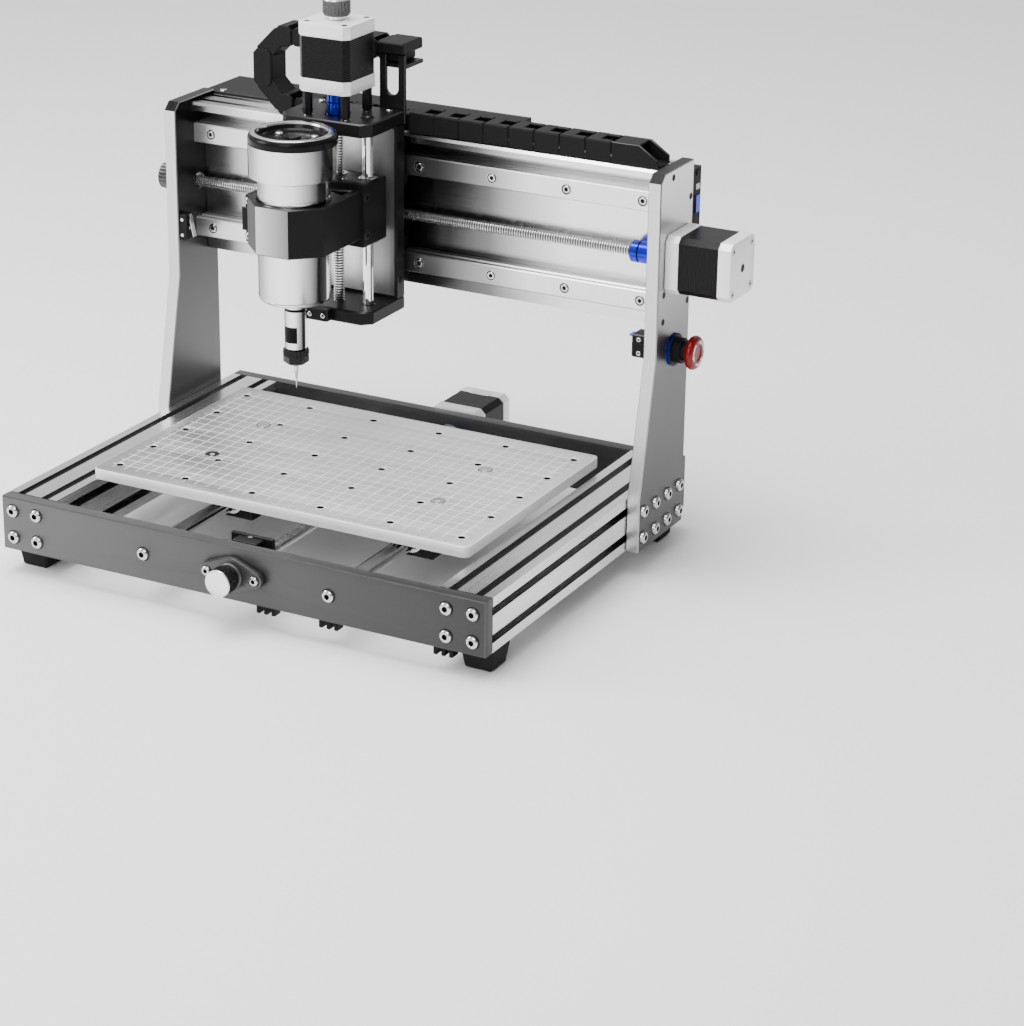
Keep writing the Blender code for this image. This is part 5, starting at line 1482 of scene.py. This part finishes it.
CLAMP = paint("dark_clamp", {"Metallic": 0.5, "Specular IOR Level": 0.12}, clamp_look)
PAINTED_LIGHT_FACET = paint("facet_painted_light", {"Metallic": 0.9}, facet_look)
low, high = span("spindle_clamp")
nose = 13.3
half = (high.x - low.x) / 2
slope = half - nose
SPLIT = (3.4, 5.6)
ring = [
    (low.x, SPLIT[0]),
    (low.x, low.y + slope),
    (CARRIAGE_X - nose, low.y),
    (CARRIAGE_X + nose, low.y),
    (high.x, low.y + slope),
    (high.x, high.y),
    (low.x, high.y),
    (low.x, SPLIT[1]),
    (CARRIAGE_X - 25.6, SPLIT[1]),
]
ring += arc(CARRIAGE_X, 0, 26.2, 167.6, -172.4, 56)
ring += [(CARRIAGE_X - 25.9, SPLIT[0])]
pocket = [(CARRIAGE_X + 9, 30.5), (CARRIAGE_X + 25, 36.5), (CARRIAGE_X + 25, 24.5)]
pocket_left = [(2 * CARRIAGE_X - x, y) for x, y in reversed(pocket)]
clamp = Piece("spindle_clamp_milled", CLAMP, BLACK_EDGE, PAINTED_LIGHT_FACET, SCREW, BLACK_AND_SHADE)
clamp.plate("Z", [ring, pocket, pocket_left], low.z, high.z, 0, 0.7, 1)
# The front facet takes the painted light.
for face in clamp.shape.faces:
    face.normal_update()
    if face.normal.y < -0.9 and face.calc_center_median().y < low.y + 0.5:
        face.material_index = 2
for z in (low.z + 9, high.z - 9):
    clamp.screw("X", (-6.0, z), low.x, -1, 3.0, 0.8, 3, 4)
clamp.done("lift_slide", "dark_anodised", "spindle_clamp")
switch = Piece("clamp_switch", MOULDED, SCREW, BLACK_AND_SHADE, BLACK_EDGE)
switch.block((low.x - 7.5, -3.0, low.z - 1), (low.x - 0.9, 11.0, high.z - 2), 0, 0.6, 3)
switch.block((low.x - 9.2, -5.0, low.z + 8), (low.x - 3.4, -2.8, high.z - 11), 0, 0.4, 3)
for z in (low.z + 3.5, high.z - 6.5):
    switch.screw("Y", (low.x - 4.6, z), -3.0, -1, 2.7, 1.2, 1, 2)
switch.done("lift_slide", "black_plastic")

# ---- Spindle ----
# A chromed motor body: a wide cap with a black rim and a dark recessed top, a grooved neck, the barrel in the
# clamp, and a small collar at the nose. The studio's reflection is painted round the chrome, and painted
# shade fills its grooves, vents and the bore in the nose.

CHROME_FACING = -62.5
# Painted reflection: bands of light and dark round the chrome, by the angle about the spindle's axis.
CHROME_PAINTED_REFLECTION = [
    (0.0, grey(0.6)),
    (0.2, grey(0.3)),
    (0.26, grey(0.01)),
    (0.29, grey(0.06)),
    (0.33, grey(0.3)),
    (0.39, grey(0.75)),
    (0.45, grey(1.0)),
    (0.51, grey(0.9)),
    (0.56, grey(0.45)),
    (0.6, grey(0.14)),
    (0.627, grey(0.05)),
    (0.635, grey(0.006)),
    (0.675, grey(0.006)),
    (0.685, grey(1.0)),
    (0.73, grey(0.8)),
    (0.77, grey(0.1)),
    (1.0, grey(0.6)),
]


def chrome_look(place):
    """Chrome shaded round its axis, the way a studio wraps itself round a polished tube."""
    x, y = place.axes()[:2]
    smudge = place.noise(18.0, 3.0)
    turn = x.sum("ARCTAN2", y, x - CARRIAGE_X) / (2 * math.pi)
    share = (turn - CHROME_FACING / 360 + 1.5) % 1.0
    shade = share.node("ValToRGB", {"stops": CHROME_PAINTED_REFLECTION}, {0: share})
    tone = shade * 0.97 + smudge * 0.03
    return {"Base Color": tone.between(grey(0.0), grey(0.96)), "Roughness": smudge * 0.04 + 0.16}


def gloss_black_look(place):
    return mottle(place, 60.0, 2.0, (0.003, 0.008), (0.1, 0.16))


CHROME = paint("spindle_chrome", {"Metallic": 1.0}, chrome_look)
GLOSS = paint("gloss_black", {"Specular IOR Level": 0.12}, gloss_black_look)
low, high = span("spindle_body")
top = high.z
RECESS = 5.4
NOSE = 184.5
spindle = Piece("spindle_chromed", CHROME, GLOSS, SCREW, BLACK_AND_SHADE)
profile = [
    (0, top - RECESS),
    (22.6, top - RECESS),
    (23.8, top - RECESS + 1.0),
    (24.6, top - 1.6),
    (25.4, top - 0.5),
    (26.8, top),
    (28.6, top - 0.1),
    (30.2, top - 0.7),
    (31.3, top - 1.8),
    (31.9, top - 3.2),
    (32.0, top - 4.4),
    (32.0, top - 7.2),
    (31.7, top - 7.4),
    (31.7, top - 7.8),
    (32.0, top - 8.0),
    (32.0, 277.2),
    (31.7, 276.5),
    (31.0, 276.2),
    (26.3, 276.2),
    (25.6, 275.6),
    (25.6, 274.9),
    (26.0, 274.6),
    (26.0, 262.6),
    (25.8, 262.4),
    (25.8, 262.0),
    (26.0, 261.8),
    (26.0, 188.4),
    (25.7, 187.0),
    (25.0, 185.8),
    (23.4, 184.8),
    (20.5, NOSE),
    (12.2, NOSE),
    (12.2, 182.9),
    (11.6, 182.5),
    (8.4, 182.5),
    (8.4, 198.4),
    (0, 198.4),
]
bands = [(row, 1) for row in (0, 1, 2, 7, 8, 9, 10)]
bands += [(row, 2) for row in (3, 4, 5, 6)]
# Painted shade in the grooves and in the bore of the nose.
bands += [(row, 3) for row in (11, 12, 13, 18, 19, 34, 35)]
spindle.turn("Z", (CARRIAGE_X, 0), profile, 0, 128, bands)
for place in range(3):
    angle = math.radians(40 + 120 * place)
    x = CARRIAGE_X + 15.5 * math.cos(angle)
    y = 15.5 * math.sin(angle)
    spindle.screw("Z", (x, y), top - RECESS, 1, 3.0, 1.6, 2, 3)
for place in range(8):
    angle = math.radians(22.5 + 45 * place)
    x = CARRIAGE_X + 9.5 * math.cos(angle)
    y = 9.5 * math.sin(angle)
    # Vents painted near black, as the shade inside them.
    vent = [(0, 0.1), (1.9, 0.1), (2.2, -0.1), (0, -0.1)]
    spindle.turn("Z", (x, y), [(radius, top - RECESS + lift) for radius, lift in vent], 3, 16)
boss = [(0, 1.8), (5.4, 1.8), (6.0, 1.2), (6.0, -0.1), (0, -0.1)]
spindle.turn("Z", (CARRIAGE_X, 0), [(radius, top - RECESS + lift) for radius, lift in boss], 1, 36)
for place in range(4):
    angle = math.radians(45 + 90 * place)
    x = CARRIAGE_X + 17.5 * math.cos(angle)
    y = 17.5 * math.sin(angle)
    spindle.screw("Z", (x, y), NOSE, -1, 2.2, 1.5, 2, 3)
spindle.done("lift_slide", "chrome", "spindle_body")
low, high = span("spindle_shaft")
shaft = Piece("spindle_shaft_ground", CHROME, BLACK_AND_SHADE, CHAMFER)
profile = [
    (0, high.z),
    (8.0, high.z),
    (8.0, 178.5),
    (7.2, 178.0),
    (7.2, 176.9),
    (8.0, 176.4),
    (8.0, low.z + 0.8),
    (7.4, low.z),
    (0, low.z),
]
# Painted shade in the groove.
shaft.turn("Z", (CARRIAGE_X, 0), profile, 0, 48, ((2, 1), (3, 1)))
for start in (-135, 45):
    mark = arc(CARRIAGE_X, 0, 8.03, start, start + 84, 12)
    mark += arc(CARRIAGE_X, 0, 7.4, start + 84, start, 12)
    shaft.plate("Z", [mark], 153.0, 165.0, 1)
shaft.done("spindle", "chrome", "spindle_shaft")

# ---- Collet nut and bit ----
# A black oxide collet nut with six flats below a slotted ring, and a ground steel engraving bit.


def oxide_look(place):
    return mottle(place, 500.0, 3.0, (0.01, 0.03), (0.18, 0.24))


OXIDE = paint("black_oxide", {"Metallic": 0.5, "Specular IOR Level": 0.15}, oxide_look)
low, high = span("collet_nut")
nut = Piece("collet_nut_cut", OXIDE, BLACK_EDGE)
profile = [
    (1.9, high.z),
    (9.0, high.z),
    (9.45, high.z - 0.5, (1, 0.9)),
    (9.45, high.z - 4.4, (1, 0.9)),
    (8.7, high.z - 4.8),
    (8.1, high.z - 5.0, 6),
    (8.1, low.z + 1.6, 6),
    (7.6, low.z + 1.0, 6),
    (6.6, low.z),
    (1.9, low.z),
]
nut.turn("Z", (CARRIAGE_X, 0), profile, 0, 48, ((4, 1), (7, 1)))
nut.done("spindle", "black_metal", "collet_nut")
low, high = span("cutting_bit")
bit = Piece("cutting_bit_ground", GROUND, SCREW)
profile = [(0, high.z), (1.58, high.z), (1.58, low.z + 13), (1.1, low.z + 12)]
profile += [(0.9, low.z + 8), (0.12, low.z), (0, low.z)]
bit.turn("Z", (CARRIAGE_X, 0), profile, 0, 24, ((2, 1), (3, 1)))
bit.done("spindle", "bright_steel", "cutting_bit")

# ---- Chain bracket ----
# A slotted black plate behind the lift frame, bent back near its top under the end of the cable
# chain.

low, high = span("chain_bracket")
bracket = Piece("chain_bracket_folded", BLACK, BLACK_EDGE, SCREW, BLACK_AND_SHADE)
middle = (low.x + high.x) / 2
PLATE_TOP = high.z + 7.4
slot = arc(middle, 322, 5, 180, 360, 10) + [(middle + 5, PLATE_TOP - 1.2), (middle - 5, PLATE_TOP - 1.2)]
outline = rectangle(low.x, low.z, high.x, PLATE_TOP)
bracket.plate("Y", [outline, slot], low.y, low.y + 3, 0, 0.5, 1)
bracket.block((low.x, low.y + 2.9, high.z - 3), high, 0, 0.5, 1)
for x in (low.x + 4, high.x - 4):
    bracket.screw("Y", (x, 302), low.y, -1, 2.2, 0.25, 2, 3)
bracket.done("carriage", "black_metal", "chain_bracket")

# ---- Cable chain ----
# A black nylon drag chain that lies along the beam in open links, rolls over once in stiff ones and
# comes back to the carriage. The slim tails of the bend lie inside the run below.

fixed_low, fixed_high = span("chain_fixed")
upper_low, upper_high = span("chain_upper")
CHAIN_HEIGHT = 15.5
CHAIN_WALL = 0.9
BEND_X = -106.7
BEND_RADIUS = 33.3
bend_z = fixed_low.z + BEND_RADIUS


def open_link(piece, start, end):
    """One link of the fixed run: two side plates, two bars and a lip along each top edge."""
    near, far, floor = fixed_low.y, fixed_high.y, fixed_low.z
    top, wall = CHAIN_HEIGHT, CHAIN_WALL
    parts = []
    for front, back in ((near, near + wall), (far - wall, far)):
        parts.append(((start + 0.15, front, 0.52), (end - 0.15, back, top - 0.52)))
    bar_end = start + 0.4 + (end - start) * 0.48
    for bottom in (0.0, top - wall):
        parts.append(((start + 0.4, near + 0.2, bottom), (bar_end, far - 0.2, bottom + wall)))
    for front, back in ((near + 0.3, near + 5.6), (far - 5.6, far - 0.3)):
        parts.append(((start + 0.5, front, top - wall), (end - 0.5, back, top - 0.1)))
    lift = Vector((0, 0, floor))
    for low, high in parts:
        piece.block(Vector(low) + lift, Vector(high) + lift, 0, 0.5)


chain = Piece("cable_chain_fixed", MOULDED, BLACK_EDGE)
run_end = 155.0
count = 8
pitch = (run_end - fixed_low.x) / count
for number in range(count):
    start = fixed_low.x + number * pitch
    open_link(chain, start, start + pitch)
ring = [
    (run_end + 0.2, fixed_low.z),
    (fixed_high.x, fixed_low.z),
    (fixed_high.x, fixed_low.z + 6),
    (fixed_high.x - 14, fixed_high.z),
    (run_end + 0.2, fixed_high.z),
]
chain.plate("Y", [ring], fixed_low.y, fixed_low.y + 2.4, 0, 0.4, 1)
chain.plate("Y", [ring], fixed_high.y - 2.4, fixed_high.y, 0, 0.4, 1)
near, far = fixed_low.y + 2.3, fixed_high.y - 2.3
bottom, top = fixed_low.z, fixed_high.z
chain.block((run_end + 0.4, near, bottom), (fixed_high.x - 0.5, far, bottom + 2), 0, 0.3)
chain.block((run_end + 1, near, top - 2), (fixed_high.x - 15, far, top), 0, 0.3)
chain.done("base", "black_plastic", "chain_fixed")


def stiff_link(piece, centre, lean, length, slim, bar_gap=3.4):
    """A straight link about its own middle, turned by lean degrees, with its corners cut. Its bars
    stop bar_gap short of each end."""
    half, tall, cut = length / 2, CHAIN_HEIGHT / 2 - slim, 3.2
    corners = [(-half, cut - tall), (cut - half, -tall), (half - cut, -tall), (half, cut - tall)]
    corners += [(half, tall - cut), (half - cut, tall), (cut - half, tall), (-half, tall - cut)]
    turn = math.radians(lean)

    def placed(points):
        return [
            (
                centre[0] + x * math.cos(turn) - z * math.sin(turn),
                centre[1] + x * math.sin(turn) + z * math.cos(turn),
            )
            for x, z in points
        ]

    near, far = fixed_low.y + slim, fixed_high.y - slim
    piece.plate("Y", [placed(corners)], near, near + 2.4, 0, 0.5)
    piece.plate("Y", [placed(corners)], far - 2.4, far, 0, 0.5)
    reach = half - bar_gap
    for bottom in (-tall, tall - 1.8):
        bar = rectangle(-reach, bottom, reach, bottom + 1.8)
        piece.plate("Y", [placed(bar)], near + 2.2, far - 2.2, 0, 0.3)


BEND_MIDDLE = BEND_RADIUS - CHAIN_HEIGHT / 2
SIDE = 2 * BEND_MIDDLE * math.tan(math.radians(22.5))
chain = Piece("cable_chain_bend", MOULDED, BLACK_EDGE)
for number in range(5):
    angle = math.radians(270 - 45 * number)
    centre = (BEND_X + BEND_MIDDLE * math.cos(angle), bend_z + BEND_MIDDLE * math.sin(angle))
    length = SIDE + 6.4
    if number in (0, 4):
        centre = (BEND_X - length / 4, centre[1])
        length /= 2
    stiff_link(chain, centre, -45 * number, length, 1.0 * (number % 2))
tail_end = 45.0
count = 7
pitch = (tail_end - BEND_X) / count
for number in range(count):
    start = BEND_X + number * pitch
    centre = (start + pitch / 2, fixed_low.z + CHAIN_HEIGHT / 2)
    stiff_link(chain, centre, 0, pitch + 2.4, 2.4 + 0.6 * (number % 2), 5.4)
chain.done("chain_roll", "black_plastic", "chain_bend")

chain = Piece("cable_chain_upper", MOULDED, BLACK_EDGE)
axis_z = upper_low.z + CHAIN_HEIGHT / 2
stiff_link(chain, (upper_low.x + 11, axis_z), 0, 22, 0.0)
stiff_link(chain, (upper_low.x + 29, axis_z - 0.1), 0, 18, 0.9)
chain.block((upper_low.x + 26, upper_low.y - 7.5, upper_high.z - 8), upper_high, 0, 0.9)
end = (upper_high.x - 6, upper_high.y, upper_high.z - 7)
chain.block((upper_low.x + 28, upper_low.y, upper_low.z), end, 0, 0.6)
chain.done("carriage", "black_plastic", "chain_upper")

chain = Piece("cable_chain_between", MOULDED, BLACK_EDGE)
pitch = (upper_low.x - BEND_X) / 2
for number in range(2):
    start = BEND_X + number * pitch
    stiff_link(chain, (start + pitch / 2, axis_z), 0, pitch + 2.0, 0.9 * (number % 2 == 0) + 0.1)
between = chain.done(None, "black_plastic")
CHAIN_Y = 110.0
start = ORIGIN + Vector((BEND_X, CHAIN_Y, upper_low.z)) * MM
end = ORIGIN + Vector((upper_low.x, CHAIN_Y, upper_low.z)) * MM
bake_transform(between)

# ---- Cable clips ----
# Small black moulded clips pressed under the front plate, each with three teeth.

low, high = span("front_plate")
for number, x in enumerate((22.0, 72.0, 161.0)):
    clip = Piece(f"cable_clip_{number}", MOULDED, BLACK_EDGE)
    for way in (-1, 0, 1):
        clip.block((x + way * 6 - 1.5, low.y + 4, 10.5), (x + way * 6 + 1.5, low.y + 12, low.z + 0.2), 0, 0.4)
    clip.block((x - 7.5, low.y + 4, low.z - 2.6), (x + 7.5, low.y + 12, low.z - 0.2), 0, 0.4)
    clip.done("base", "black_plastic")
